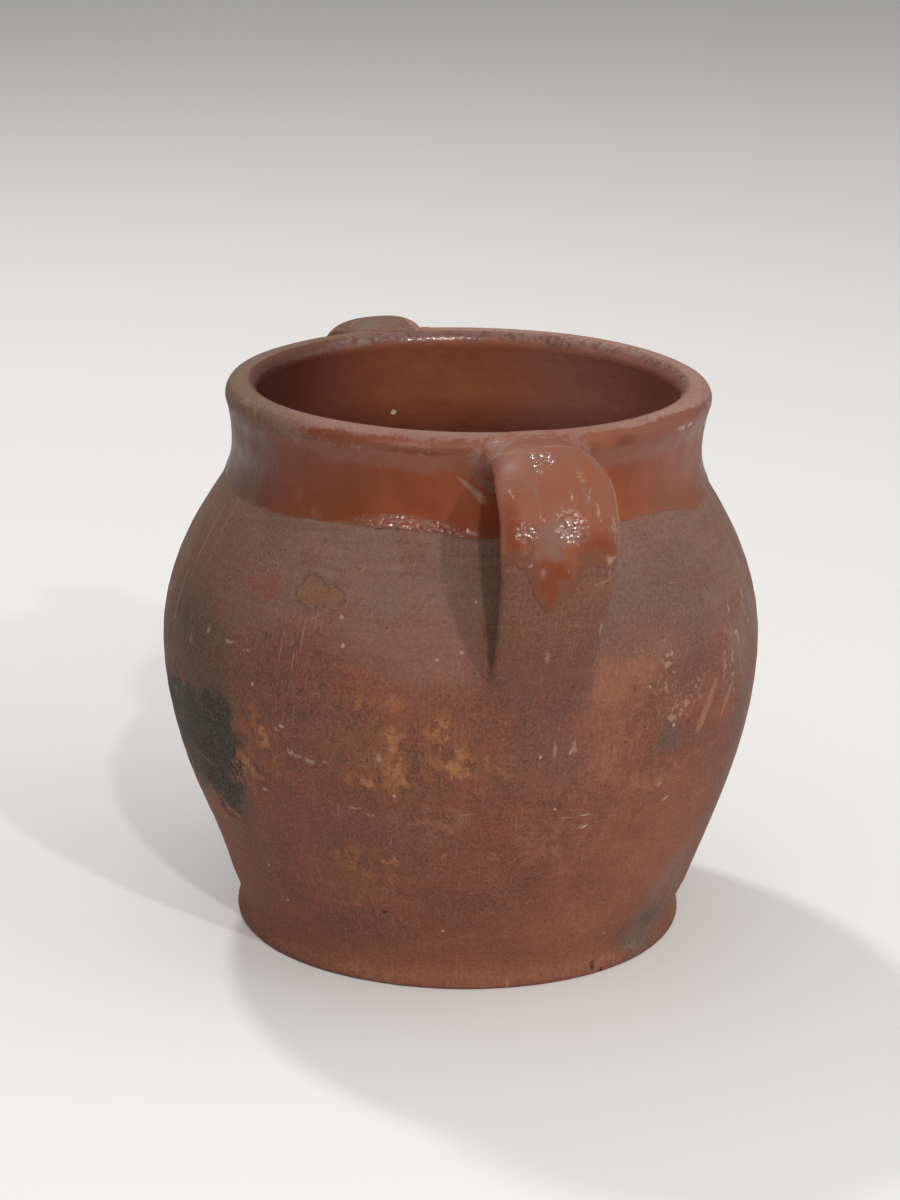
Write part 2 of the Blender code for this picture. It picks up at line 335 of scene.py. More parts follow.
def spots(tree, flat, places, soft):
    # one mask for several oval places, each (degrees from the front handle, height, half width, half
    # height) in millimetres, with a tilt in degrees where a fifth number follows
    mask = None
    for degrees, height, halfWidth, halfHeight, *tilt in places:
        centre = (math.radians(degrees) * flatRadius, height / 1000, 0)
        size = (1000 / halfWidth, 1000 / halfHeight, 0)
        away = calcVector(tree, "SUBTRACT", flat, centre)
        if tilt:
            values = {"Vector": away, "Angle": -math.radians(tilt[0])}
            away = addNode(tree, "ShaderNodeVectorRotate", values, rotation_type="Z_AXIS").outputs[0]
        oval = calcVector(tree, "MULTIPLY", away, size)
        reach = calcVector(tree, "LENGTH", oval)
        one = ramp(tree, reach, 1 + soft, 1 - soft)
        mask = one if mask is None else larger(tree, mask, one)
    return mask


def newMaterial(name):
    made = bpy.data.materials.new(name)
    made.use_nodes = True
    return made, made.node_tree, made.node_tree.nodes["Principled BSDF"]


def finishMaterial(tree, shader, sockets, relief, strength, distance):
    for socket, value in sockets.items():
        fill(tree, shader.inputs[socket], value)
    made = addNode(tree, "ShaderNodeBump", {"Height": relief, "Strength": strength, "Distance": distance})
    for socket in ("Normal", "Coat Normal"):
        tree.links.new(made.outputs[0], shader.inputs[socket])


# Bare fired clay: red-brown, under a grey-brown film on the shoulder, with soot, ochre flaking and knocks
clay = {
    "dark": (0.138, 0.041, 0.023), "red": (0.205, 0.060, 0.032), "pale": (0.262, 0.088, 0.050),
    "film": (0.186, 0.100, 0.069), "filmRed": (0.160, 0.068, 0.045), "speck": (0.46, 0.34, 0.25),
    "pit": (0.046, 0.028, 0.021), "lip": (0.235, 0.114, 0.085), "lipPale": (0.290, 0.175, 0.130),
    "olive": (0.146, 0.086, 0.056), "strap": (0.172, 0.066, 0.038),
    # noises: (grains per metre, detail, roughness, scale each way, where below 1 draws the grain out)
    "grains": {"broad": (16, 4), "mid": (70, 7, 0.65), "small": (260, 5, 0.65), "fine": (1100, 3),
               "crumbs": (620, 4, 0.7), "chalk": (170, 9, 0.78)},
    "turnedGrain": (420, 4, 0.6, (0.10, 1.0, 1.0)), "strapGrain": (420, 4, 0.6, (1.0, 0.15, 0.06)),
    "gritGrain": (7, 0.64),    # with the marks' own grains per metre
    # frayed outlines: (grains per metre, how far they stray, detail)
    "edges": {"frayed": (80, 0.026, 7.0), "torn": (130, 0.027, 8.0), "crisp": (210, 0.007),
              "nicked": (420, 0.0028)},
    # layers, as paintLayers takes them
    "ground": [("mid", 0.30, 0.70, 1.0, "red"), ("broad", 0.5, 0.75, 0.6, "pale"),
               ("small", 0.56, 0.70, 0.4, "pale"), ("chalk", 0.55, 0.66, 0.5, "pale"),
               ("chalk", 0.44, 0.34, 0.5, "dark")],
    "filmLayers": [("mid", 0.42, 0.72, 0.8, "filmRed"), ("chalk", 0.46, 0.34, 0.5, "filmRed")],
    "lipLayers": [("angle", -0.75, -1.25, 1.0, "olive"), ("angle", 0.25, 0.70, 0.6, "lipPale"),
                  ("small", 0.48, 0.68, 0.6, "red"), ("mid", 0.55, 0.68, 0.5, "lipPale")],
    "dust": [("fine", 0.35, 0.7, 0.12, "speck")],
    # ramps: (where they start, where they are full, and their two ends where those aren't 0 and 1)
    "strapFrom": (0.109, 0.116), "strapStreaks": (0.35, 0.70, 0.0, 0.40), "strapCover": 0.75,
    "filmFrom": (0.112, 0.142), "filmOffStraps": (0.117, 0.109, 0.10, 1.0),
    "filmPatches": (0.25, 0.6, 0.70, 1.0), "filmStray": 0.06,
    "turnedPits": (0.35, 0.65, 0.20, 0.0), "grainy": (0.38, 0.48, 0.45, 1.0),
    "lipFrom": (0.1915, 0.1945), "lipStray": 0.004,
    # fine scratches: (scale each way, then their ramp), and where they are kept to
    "scuffGrain": (1300, 2, 0.5), "scuffPatches": (0.46, 0.56),
    "scuffs": [((1.0, 0.07, 1.0), 0.62, 0.68, 0.0, 0.35), ((0.09, 1.0, 1.0), 0.64, 0.70, 0.0, 0.35)],
    # dots: (cells per metre, size, tint, share of the cells left empty)
    "dots": [(150, 0.12, "speck", 0.92), (190, 0.14, "pit", 0.60)],
    "dotStrength": 0.75, "dotCore": 0.4, "dotChoice": 0.02,
    "relief": {"fine": 0.25, "mid": 0.6, "small": 0.3, "turned": 0.25}, "bump": (0.55, 0.0009),
    "rough": (0.3, 0.7, 0.58, 0.78), "specular": 0.16,
}

# Marks of age on the wall, laid on in this order, with places as spots takes them. Edge is how the outline
# is frayed, grit is (grains per metre, where it starts, where it is full, scale upright), grainy breaks the
# mark into crumbs, dent is how deep it has worn.
marks = {
    "brown wash": {
        "tint": (0.118, 0.044, 0.027), "strength": 0.70, "soft": 0.80,
        "places": [(-76, 134, 30, 30), (-56, 116, 22, 11), (110, 140, 30, 16)],
    },
    "shoulder shade": {
        "tint": (0.112, 0.056, 0.041), "strength": 0.60, "soft": 0.90,
        "places": [(30, 143, 30, 16), (32, 129, 24, 12), (110, 140, 36, 16)],
    },
    "bright foot": {
        "tint": (0.280, 0.092, 0.047), "strength": 0.55, "soft": 0.90,
        "places": [(-12, 6, 72, 16), (14, 20, 30, 18), (30, 44, 26, 30), (125, 2, 76, 10)],
    },
    "pink bloom": {
        "tint": (0.212, 0.090, 0.062), "strength": 0.60, "soft": 0.90,
        "places": [(-20, 128, 13, 12), (27, 126, 8, 6), (-145, 125, 20, 14)],
    },
    "orange patch": {
        "tint": (0.245, 0.092, 0.050), "strength": 0.70, "soft": 0.50,
        "places": [(13.5, 118, 6, 9), (19, 120, 7, 6), (-156, 110, 10, 8)],
    },
    "red wash": {
        "tint": (0.180, 0.052, 0.029), "strength": 0.55, "soft": 0.80, "grit": (55, 0.4, 0.65, 1),
        "places": [(-20, 55, 50, 24), (25, 60, 24, 30), (124, 60, 40, 30), (-128, 50, 40, 22)],
    },
    "violet wash": {
        "tint": (0.125, 0.046, 0.034), "strength": 0.65, "soft": 0.80,
        "places": [(-42, 100, 20, 14), (-36, 62, 24, 12), (3, 100, 10, 16), (-40, 22, 16, 7),
            (35, 115, 12, 7)],
    },
    "scorch": {
        "tint": (0.070, 0.043, 0.029), "strength": 0.95, "soft": 0.70, "grit": (65, 0.3, 0.55, 1),
        "places": [(-78, 119, 22, 15), (-66, 78, 9, 34), (-68, 104, 13, 22), (118, 112, 30, 26)],
    },
    "soot": {
        "tint": (0.018, 0.017, 0.013), "strength": 0.96, "soft": 0.20, "edge": "torn",
        "grit": (210, 0.27, 0.42, 0.8),
        "places": [(-83, 80, 33, 22), (-67, 91, 12, 13), (-66, 78, 9, 14), (-70, 63, 9, 8),
            (122, 98, 20, 30)],
    },
    "ochre wash": {
        "tint": (0.190, 0.066, 0.026), "strength": 0.70, "soft": 0.60, "dent": 0.1, "grainy": True,
        "grit": (110, 0.43, 0.55, 0.7),
        "places": [(-27, 96, 27, 15), (-54, 93, 10, 12), (-60, 78, 8, 9), (-71, 57, 13, 4),
            (-31, 111, 12, 4), (-9, 91, 12, 6), (-36, 50, 18, 10), (138, 92, 30, 16), (-135, 84, 26, 14)],
    },
    "umber flecks": {
        "tint": (0.085, 0.036, 0.023), "strength": 0.75, "soft": 0.60, "grainy": True,
        "grit": (230, 0.515, 0.55, 0.8),
        "places": [(-26, 92, 26, 12), (-42, 108, 20, 11), (-56, 88, 8, 20), (-50, 128, 12, 6),
            (138, 90, 28, 14)],
    },
    "ochre flecks": {
        "tint": (0.262, 0.090, 0.036), "strength": 0.80, "soft": 0.40, "dent": 0.25, "grainy": True,
        "grit": (220, 0.515, 0.54, 0.7),
        "places": [(-54, 94, 8, 10), (-59, 79, 7, 7), (-71, 57, 10, 3.5), (-26.5, 95, 4, 12),
            (-19, 105, 5, 6), (-15.5, 94, 5, 7), (-7.5, 92, 8, 4), (-31, 84, 8, 4), (-33.5, 111.5, 5, 3),
            (-27, 112, 5, 3), (-36, 50, 7, 7), (-29, 45, 6, 5), (-39, 34, 6, 3), (136, 90, 28, 14),
            (-136, 84, 24, 12)],
    },
    "ochre streaks": {
        "tint": (0.345, 0.134, 0.054), "strength": 0.85, "soft": 0.45, "dent": 0.3, "grainy": True,
        "grit": (280, 0.47, 0.51, 0.55),
        "places": [(-26.4, 95, 1.8, 10), (-19.4, 106, 2.4, 4.5), (-17, 100, 2.6, 4),
            (-14.8, 92, 2.6, 5.5), (-8, 92.5, 5.5, 2.8), (-30, 83, 4, 2.2), (-53, 95, 2.4, 3),
            (-59, 78, 2.4, 2.4), (-28.6, 56, 1.6, 1.6), (-8.3, 56.5, 1.6, 1.4), (-18.6, 56.5, 2, 1)],
    },
    "lime flecks": {
        "tint": (0.330, 0.235, 0.165), "strength": 0.70, "soft": 0.60, "edge": "nicked",
        "grit": (600, 0.36, 0.48, 1),
        "places": [(-47.2, 90.6, 1.1, 1.2), (-45.6, 89.5, 1.4, 0.7), (-43, 88.4, 1.7, 0.9),
            (-34.5, 73.4, 1.9, 0.35), (-55, 72.7, 1.5, 0.35), (-29.3, 93.7, 0.8, 1.5),
            (-63, 123, 2.2, 0.5), (-70, 124, 0.6, 1.5), (-31.5, 71.5, 1.4, 0.3), (-50, 98, 0.6, 0.6),
            (-40, 89.5, 0.7, 0.4), (-58, 122, 1.6, 0.4)],
    },
    "red flake": {
        "tint": (0.172, 0.056, 0.034), "strength": 0.85, "soft": 0.20, "edge": "crisp",
        "places": [(-56, 143.5, 4.6, 4, -25), (-60.5, 143, 4.5, 2, -15), (96, 143, 8, 5)],
    },
    "pale flaking": {
        "tint": (0.350, 0.190, 0.130), "strength": 0.80, "soft": 0.50, "dent": 0.3, "grainy": True,
        "grit": (400, 0.53, 0.57, 1),
        "places": [(26, 115, 4, 6), (31, 106, 7, 6.5), (27, 102, 3.5, 3), (35, 112, 4, 4),
            (47, 112, 5, 9), (57, 128, 3, 8), (-112, 110, 14, 12)],
    },
    "orange mottle": {
        "tint": (0.262, 0.104, 0.058), "strength": 0.60, "soft": 0.70, "grainy": True,
        "grit": (230, 0.49, 0.55, 0.9),
        "places": [(11, 86, 12, 7), (24, 80, 10, 8), (4, 60, 14, 8), (-20, 70, 12, 8), (20, 104, 8, 8),
            (-100, 60, 30, 14), (-36, 3, 16, 2.2), (-12, 2, 14, 1.6), (30, 4, 14, 2.2)],
    },
    "leaf peel": {
        "tint": (0.262, 0.112, 0.066), "strength": 0.80, "soft": 0.25, "edge": "nicked", "dent": 0.3,
        "places": [(38.3, 101, 10, 1.7, 62), (36.6, 96, 4, 1.9, 66), (45.4, 99.5, 6, 1.4, 58),
            (-118, 104, 5, 9)],
    },
    "dark stain": {
        "tint": (0.080, 0.058, 0.046), "strength": 0.75, "soft": 0.75, "edge": "torn",
        "grit": (110, 0.3, 0.5, 1),
        "places": [(28.5, 94, 4.2, 4.5), (38, 13, 14, 10), (41, 7, 6, 6), (54, 90, 4, 14),
            (-118, 18, 14, 10)],
    },
    "grey wear": {
        "tint": (0.178, 0.124, 0.097), "strength": 0.75, "soft": 0.80, "grit": (60, 0.34, 0.58, 0.6),
        "places": [(63, 64, 12, 42), (66, 124, 14, 32), (45, 28, 13, 14), (40, 15, 14, 10),
            (51, 112, 8, 14), (150, 40, 14, 30)],
    },
    "scratches": {
        "tint": (0.310, 0.190, 0.140), "strength": 0.65, "soft": 0.60, "edge": "nicked",
        "places": [(8.6, 147, 0.5, 3.4), (7.4, 143, 0.5, 2.4), (-1, 134, 0.45, 2.4), (2.6, 97, 0.6, 2.6),
            (6.4, 97.5, 0.7, 2), (27.5, 101, 0.8, 0.9), (27, 123.5, 0.9, 0.8), (26.5, 77, 1.5, 0.6),
            (9.6, 66.5, 1.6, 1), (6, 71, 1.8, 0.4), (58, 131, 1, 1.6), (-2, 1.6, 0.4, 1.8),
            (16, 20, 2.2, 0.4)],
    },
    "flecks": {
        "tint": (0.400, 0.280, 0.205), "strength": 0.75, "soft": 0.50, "edge": "plain",
        "places": [(-38.3, 139.1, 0.6, 0.6), (-37.1, 130.4, 0.6, 0.7), (-55.7, 111.6, 0.5, 0.8),
            (-19.1, 128.6, 0.6, 0.5), (-14.6, 131.1, 0.5, 0.5), (-48.9, 99.3, 0.9, 0.6),
            (50.2, 121.3, 1.2, 0.6), (50.9, 119, 0.4, 1.6), (28.1, 123.5, 0.8, 0.5, 40),
            (28.3, 98.3, 0.8, 0.5, -50), (29.4, 70.1, 1.5, 0.4, 25), (10, 70.9, 2, 0.3),
            (10.2, 66.3, 1.3, 0.4, 30), (5.7, 96, 0.4, 1.2, -20), (49, 130, 0.5, 1.2)],
    },
    "hairlines": {
        "tint": (0.300, 0.190, 0.145), "strength": 0.35, "soft": 0.50, "edge": "plain",
        "places": [(-45.7, 131.5, 0.4, 5.5), (-43.6, 138.2, 4, 0.35, 32), (-74, 74, 6.5, 0.3, -6),
            (-76.1, 117.6, 0.8, 2.2), (-84, 150, 0.5, 14, 4), (-79, 158, 0.4, 9, 4), (-47, 123, 0.3, 4),
            (-50, 126, 0.3, 5), (-86, 128, 0.7, 12), (62, 140, 0.8, 12, -4), (9, 146, 0.3, 6.5, -14),
            (66, 100, 0.5, 9), (-14, 74, 5, 0.3, 8), (6.3, 160.8, 2.2, 0.4, 20), (7.3, 164, 0.4, 1.2),
            (5, 160.2, 0.6, 0.5)],
    },
    "wiped streaks": {
        "tint": (0.115, 0.046, 0.036), "strength": 0.55, "soft": 0.80, "grit": (150, 0.45, 0.6, 0.12),
        "places": [(-5, 106, 6, 20), (4, 102, 6, 20), (10, 110, 3, 14), (164, 104, 6, 20)],
    },
    "dark freckles": {
        "tint": (0.082, 0.036, 0.024), "strength": 0.55, "soft": 0.70, "grit": (250, 0.57, 0.66, 1),
        "places": [(-30, 30, 50, 18), (25, 35, 30, 20), (20, 90, 24, 30), (122, 30, 55, 20)],
    },
    "foot chips": {
        "tint": (0.030, 0.016, 0.012), "strength": 0.90, "soft": 0.40, "edge": "nicked", "dent": 1,
        "places": [(21.3, 3.4, 1.1, 1.5), (24, 1.2, 0.8, 0.8), (-31, 31, 0.8, 0.6), (118, 2.5, 1.6, 1.2)],
    },
}
# flakes with a dark outline
ringed = {
    "tint": (0.178, 0.072, 0.034), "strength": 0.55, "soft": 0.14, "dent": 0.25,
    "outline": (0.080, 0.038, 0.028), "outlineStrength": 2.8,
    "places": [(-45.6, 145, 6.8, 5.0), (-41, 144.3, 4.2, 3.6), (132, 140, 9, 6)],
}


def lipColour(tree, fields):    # the bare lip: olive-tan on the left, pinkish in front, paler on the right
    return paintLayers(tree, fields, clay["lip"], clay, clay["lipLayers"])


def strapColour(tree, drawn):    # the bare strap, streaked along its length
    return paint(tree, ramp(tree, drawn, *clay["strapStreaks"]), clay["strap"], clay["dark"])


def paintMarks(tree, fields, edges, colour, relief):
    for mark in marks.values():
        mask = spots(tree, edges[mark.get("edge", "frayed")], mark["places"], mark["soft"])
        mask = times(tree, mask, mark["strength"])
        if "grit" in mark:
            scale, low, high, upright = mark["grit"]
            bits = grain(tree, fields["coords"], scale, *clay["gritGrain"], (1.0, 1.0, upright))
            mask = times(tree, mask, ramp(tree, bits, low, high))
        if "grainy" in mark:
            mask = times(tree, mask, ramp(tree, fields["crumbs"], *clay["grainy"]))
        colour = paint(tree, mask, colour, mark["tint"])
        if "dent" in mark:
            relief = minus(tree, relief, times(tree, mask, mark["dent"]))
    flakes = spots(tree, edges["crisp"], ringed["places"], ringed["soft"])
    outline = times(tree, flakes, minus(tree, 1.0, flakes))
    colour = paint(tree, times(tree, flakes, ringed["strength"]), colour, ringed["tint"])
    colour = paint(tree, times(tree, outline, ringed["outlineStrength"]), colour, ringed["outline"])
    return colour, minus(tree, relief, times(tree, flakes, ringed["dent"]))


def paintDots(tree, coords, colour):
    for scale, size, tint, empty in clay["dots"]:
        cells = addNode(tree, "ShaderNodeTexVoronoi", {"Vector": coords, "Scale": scale})
        chosen = addNode(tree, "ShaderNodeSeparateColor", {0: cells.outputs["Color"]}).outputs[0]
        chosen = ramp(tree, chosen, empty, empty + clay["dotChoice"])
        dot = ramp(tree, cells.outputs["Distance"], size, size * clay["dotCore"])
        dot = times(tree, dot, chosen)
        colour = paint(tree, times(tree, dot, clay["dotStrength"]), colour, clay[tint])
    return colour


def makeClay():
    made, tree, shader = newMaterial("firedClay")
    fields = surfaceFields(tree, clay["grains"])
    coords, flat, mid = fields["coords"], fields["flat"], fields["mid"]
    height, radius = fields["height"], fields["radius"]
    edges = {name: ragged(tree, coords, flat, *values) for name, values in clay["edges"].items()}
    edges["plain"] = flat
    fields["turned"] = grain(tree, flat, *clay["turnedGrain"])

    colour = paintLayers(tree, fields, clay["dark"], clay, clay["ground"])
    onStrap = ramp(tree, radius, *clay["strapFrom"])
    pulled = strapColour(tree, grain(tree, coords, *clay["strapGrain"]))
    colour = paint(tree, times(tree, onStrap, clay["strapCover"]), colour, pulled)
    stray = times(tree, minus(tree, fields["broad"], 0.5), clay["filmStray"])
    film = ramp(tree, plus(tree, height, stray), *clay["filmFrom"])
    film = times(tree, film, ramp(tree, radius, *clay["filmOffStraps"]))
    filmTint = paintLayers(tree, fields, clay["film"], clay, clay["filmLayers"])
    film = times(tree, film, ramp(tree, fields["small"], *clay["filmPatches"]))
    colour = paint(tree, film, colour, filmTint)

    relief = None
    for name, share in clay["relief"].items():
        bumps = times(tree, fields[name], share)
        relief = plus(tree, relief, bumps) if relief else bumps
    colour = paint(tree, ramp(tree, fields["turned"], *clay["turnedPits"]), colour, clay["pit"])
    colour, relief = paintMarks(tree, fields, edges, colour, relief)

    scuffs = None
    for stretch, *limits in clay["scuffs"]:
        one = ramp(tree, grain(tree, flat, *clay["scuffGrain"], stretch), *limits)
        scuffs = larger(tree, scuffs, one) if scuffs else one
    scuffs = times(tree, scuffs, ramp(tree, mid, *clay["scuffPatches"]))
    colour = paint(tree, scuffs, colour, clay["lipPale"])
    colour = paintDots(tree, coords, colour)

    lip = ramp(tree, plus(tree, height, times(tree, mid, clay["lipStray"])), *clay["lipFrom"])
    colour = paint(tree, lip, colour, lipColour(tree, fields))
    colour = paintLayers(tree, fields, colour, clay, clay["dust"])
    sockets = {"Base Color": colour, "Roughness": ramp(tree, mid, *clay["rough"]),
               "Specular IOR Level": clay["specular"]}
    finishMaterial(tree, shader, sockets, relief, *clay["bump"])
    return made


# What both glazes share
anyGlaze = {
    "grains": {"broad": (22, 4), "mid": (110, 6, 0.6), "small": (420, 4, 0.6)},
    "ground": [("runs", 0.25, 0.75, 1.0, "honey"), ("broad", 0.50, 0.75, 0.7, "thin")],
    "worn": (0.55, 0.7), "wornBroadly": (0.45, 0.65, 0.0, 0.4), "gloss": (0.3, 0.75),
    "smallRelief": 0.35, "bump": (0.45, 0.0010), "specular": 0.24, "coatIor": 1.8,
}

# Dark glaze inside, painted darker to the left as painted shade and paler to the right as painted light,
# dry and rubbed along the rim
lining = {
    "deep": (0.190, 0.049, 0.024), "honey": (0.262, 0.074, 0.037), "thin": (0.320, 0.100, 0.050),
    "bloomAndPaintedLight": (0.290, 0.112, 0.076), "shade": (0.070, 0.021, 0.016), "rim": (0.118, 0.044, 0.030),
    "tan": (0.200, 0.112, 0.080), "pale": (0.62, 0.55, 0.48),
    "runs": (90, 5, 0.6, (1.0, 1.0, 1.6)), "rough": (0.22, 0.40), "coatRough": 0.12,
    # layers: paler higher up, painted shade on the left and painted light on the right
    "layers": [("height", 0.13, 0.18, 0.5, "thin"), ("side", 0.01, -0.065, 1.0, "shade"),
               ("side", 0.02, 0.06, 0.9, "bloomAndPaintedLight")],
    "rimFrom": (0.1950, 0.1985, 0.0, 0.85), "rimStray": 0.008, "rimRough": 0.30,
    "rimTan": (0.42, 0.56), "rimTanSide": (0.02, 0.06),    # the rim is tan to the right
    "speckAt": (-0.0086, 0.0769, 0.1688), "speckSize": (0.0013, 0.0008),
    "coat": (0.0, 0.85, 0.20, 0.0),    # glossy below the rim, and on the part of the rim seen behind
    "behindLeft": (-0.045, -0.02), "behindRight": (0.06, 0.03), "behindPatches": (0.40, 0.55),
}

# Honey glaze: satin orange-brown, glossy where it beaded, worn through on the lip; painted darker round the
# left and right as painted shade, greyed at both sides partly by dust and partly as a painted sheen, and
# pale under the lip as a painted sheen
glaze = {
    "deep": (0.182, 0.037, 0.011), "honey": (0.245, 0.054, 0.016), "thin": (0.258, 0.070, 0.027),
    "bloomAndPaintedLight": (0.210, 0.084, 0.055), "bare": (0.165, 0.074, 0.050), "dullShade": (0.100, 0.042, 0.030),
    "dustAndSheen": (0.128, 0.064, 0.044), "pale": (0.400, 0.270, 0.200), "film": (0.205, 0.110, 0.082),
    "streakHighlight": (0.270, 0.165, 0.130), "salmon": (0.225, 0.078, 0.042), "pooled": (0.185, 0.040, 0.013),
    "shade": (0.122, 0.028, 0.010),
    "runs": (90, 5, 0.6, (1.0, 1.0, 0.55)), "rough": (0.36, 0.56), "coatRough": 0.16,
    "strapGrain": (420, 5, 0.65, (1.0, 0.25, 0.12)), "neckEdge": (90, 0.014), "strapEdge": (190, 0.005),
    "strapFrom": (0.092, 0.102), "strapSalmon": 0.65, "strapRough": 0.10,
    "strapLayers": [("drawn", 0.54, 0.70, 0.6, "film"), ("mid", 0.50, 0.62, 0.6, "thin")],
    # neck layers: the band under the lip painted pale as a painted sheen, the left painted darker as
    # painted shade, and the right darkened with the bare clay tint as painted shade
    "neckLayers": [("level", 0.1860, 0.1888, 0.42, "bloomAndPaintedLight"), ("angle", -0.40, -0.90, 0.65, "shade"),
                   ("angle", 0.35, 0.70, 0.40, "bare")],
    "levelStray": 0.006, "turnStray": 0.5,
    # painted shade and greying round the left, by the turn in radians, and greying again to the right; the
    # grey is partly dust and partly a painted sheen
    "leftFrom": (-2.9, -2.4), "dullShadeLeft": (-1.02, -1.22, 0.0, 0.6), "dustAndSheenLeft": (-1.14, -1.42, 0.0, 0.9),
    "rightTo": (2.6, 2.0), "dustAndSheenRight": (0.95, 1.25, 0.0, 0.7),
    # places round the neck (degrees, height, half sizes in millimetres), and on the straps (millimetres
    # across instead of degrees); patches are where they show
    "wornSoft": 0.7, "wornPatches": (0.30, 0.60, 0.20, 0.65),
    "wornPlaces": [(150, 178, 20, 8), (30, 189, 60, 3.0), (-34, 190.6, 46, 2.6)],
    "strapWorn": [(-11, 197, 8, 5), (15, 172, 5, 4), (0, 200, 20, 3), (16, 190, 3, 8)],
    "strapMarks": [
        {"tint": "film", "soft": 0.6, "field": "small", "patches": (0.3, 0.6, 0.5, 0.9),
         "places": [(-3, 177.5, 6.5, 4.2), (-11, 169.5, 4, 3.2), (-4, 172, 4, 3), (-2, 202.6, 18, 1.5),
                    (14, 198, 5, 1.0, -45)]},
        {"tint": "pooled", "soft": 0.6, "field": "mid", "patches": (0.36, 0.52, 0.45, 1.0),
         "places": [(-5, 165, 8, 5), (-4, 158, 6, 7), (1, 161, 4, 4), (12, 172, 7, 5), (-16, 178, 2.4, 9)]},
    ],
    "neckMarks": [
        # a pale streak from the neck down to the front strap's left root: a painted highlight
        {"tint": "streakHighlight", "soft": 0.4, "strength": 0.65,
         "places": [(-12.8, 181.3, 7.0, 0.9, -37), (-11.0, 178.8, 3.2, 1.4, -40)]},
        {"tint": "shade", "soft": 0.5, "strength": 0.60,    # painted shade under the lines on the lip
         "places": [(-25, 193.9, 13, 0.9, -1), (-56, 194.0, 13, 0.9, 2), (24, 195, 5, 2.0)]},
    ],
    "bubbleSoft": 0.5, "bubbleCells": 460, "bubbleDomes": (6.0, 2.6), "bubbleRough": 0.20,
    "bubblePlaces": [(-27, 167.4, 18, 3.2), (20, 165.5, 7, 1.2), (120, 165, 30, 2.0)],
    "strapBubbles": [(2.6, 179.5, 4.4, 4.6), (-12, 179, 2.8, 2.6), (-5, 197.2, 1.2, 2.0),
                     (-1.5, 198, 2.4, 1.2), (-7, 165.5, 0.8, 1.6), (1.5, 166, 0.7, 0.8),
                     (17.5, 178, 1.0, 4)],
    "ridgeSoft": 0.5, "ridgePatches": (0.47, 0.56),
    "ridgeShine": [(-27, 196.4, 11, 0.9), (45, 194.0, 8, 0.9), (-120, 191, 9, 1.0)],
    "chipSoft": 0.6, "chipPatches": (0.42, 0.54), "chipStrength": 0.65,
    "chipEdges": (0.35, 0.60, 0.10, 0.55),    # where the mesh's own wear shows, with the painted highlight along the straps' edges
    "strapChips": [(16.5, 168.5, 2.0, 1.4), (11, 161, 3.0, 0.6), (14, 164, 0.6, 2.6),
                   (-10.5, 168.5, 0.6, 1.4), (8, 193.5, 1.2, 1.0), (-2, 202.3, 13, 0.7),
                   (10, 189, 0.4, 1.2), (-2, 184, 0.4, 1.0), (-15.5, 190, 0.4, 2.0), (-14, 182, 0.4, 1.2),
                   (11.8, 184, 0.5, 2.2), (12.8, 180, 0.4, 1.5), (3.4, 189.5, 0.5, 1.4),
                   (-6.5, 183, 0.5, 1.0), (-15, 178, 0.7, 0.9), (7.8, 182, 0.4, 1.0)],
    # the clay shows where the mesh's own cover runs thin
    "coverFrom": (0.32, 0.56), "coverPatches": (1.0, 1.1), "bareRough": 0.25,
    "bareLip": (0.1885, 0.1925), "bareLipOnStraps": 0.45, "coat": (0.95, 0.02),
}


def addLining(tree, fields, colour, relief, gloss):
    look, small, side = lining, fields["small"], fields["side"]
    colour = paint(tree, fields["worn"], colour, look["bloomAndPaintedLight"])
    # painted shade on the inside's left and painted light on its right
    colour = paintLayers(tree, fields, colour, look, look["layers"])
    rubbed = plus(tree, fields["height"], times(tree, fields["stray"], look["rimStray"]))
    tan = times(tree, ramp(tree, small, *look["rimTan"]), ramp(tree, side, *look["rimTanSide"]))
    rim = paint(tree, tan, look["rim"], look["tan"])
    upper = ramp(tree, rubbed, *look["rimFrom"])
    colour = paint(tree, upper, colour, rim)
    away = calcVector(tree, "DISTANCE", fields["coords"], look["speckAt"])
    colour = paint(tree, ramp(tree, away, *look["speckSize"]), colour, look["pale"])
    gloss = plus(tree, gloss, times(tree, upper, look["rimRough"]))
    behind = times(tree, ramp(tree, side, *look["behindLeft"]), ramp(tree, side, *look["behindRight"]))
    behind = times(tree, times(tree, behind, upper), ramp(tree, small, *look["behindPatches"]))
    return colour, relief, gloss, plus(tree, ramp(tree, upper, *look["coat"]), behind)


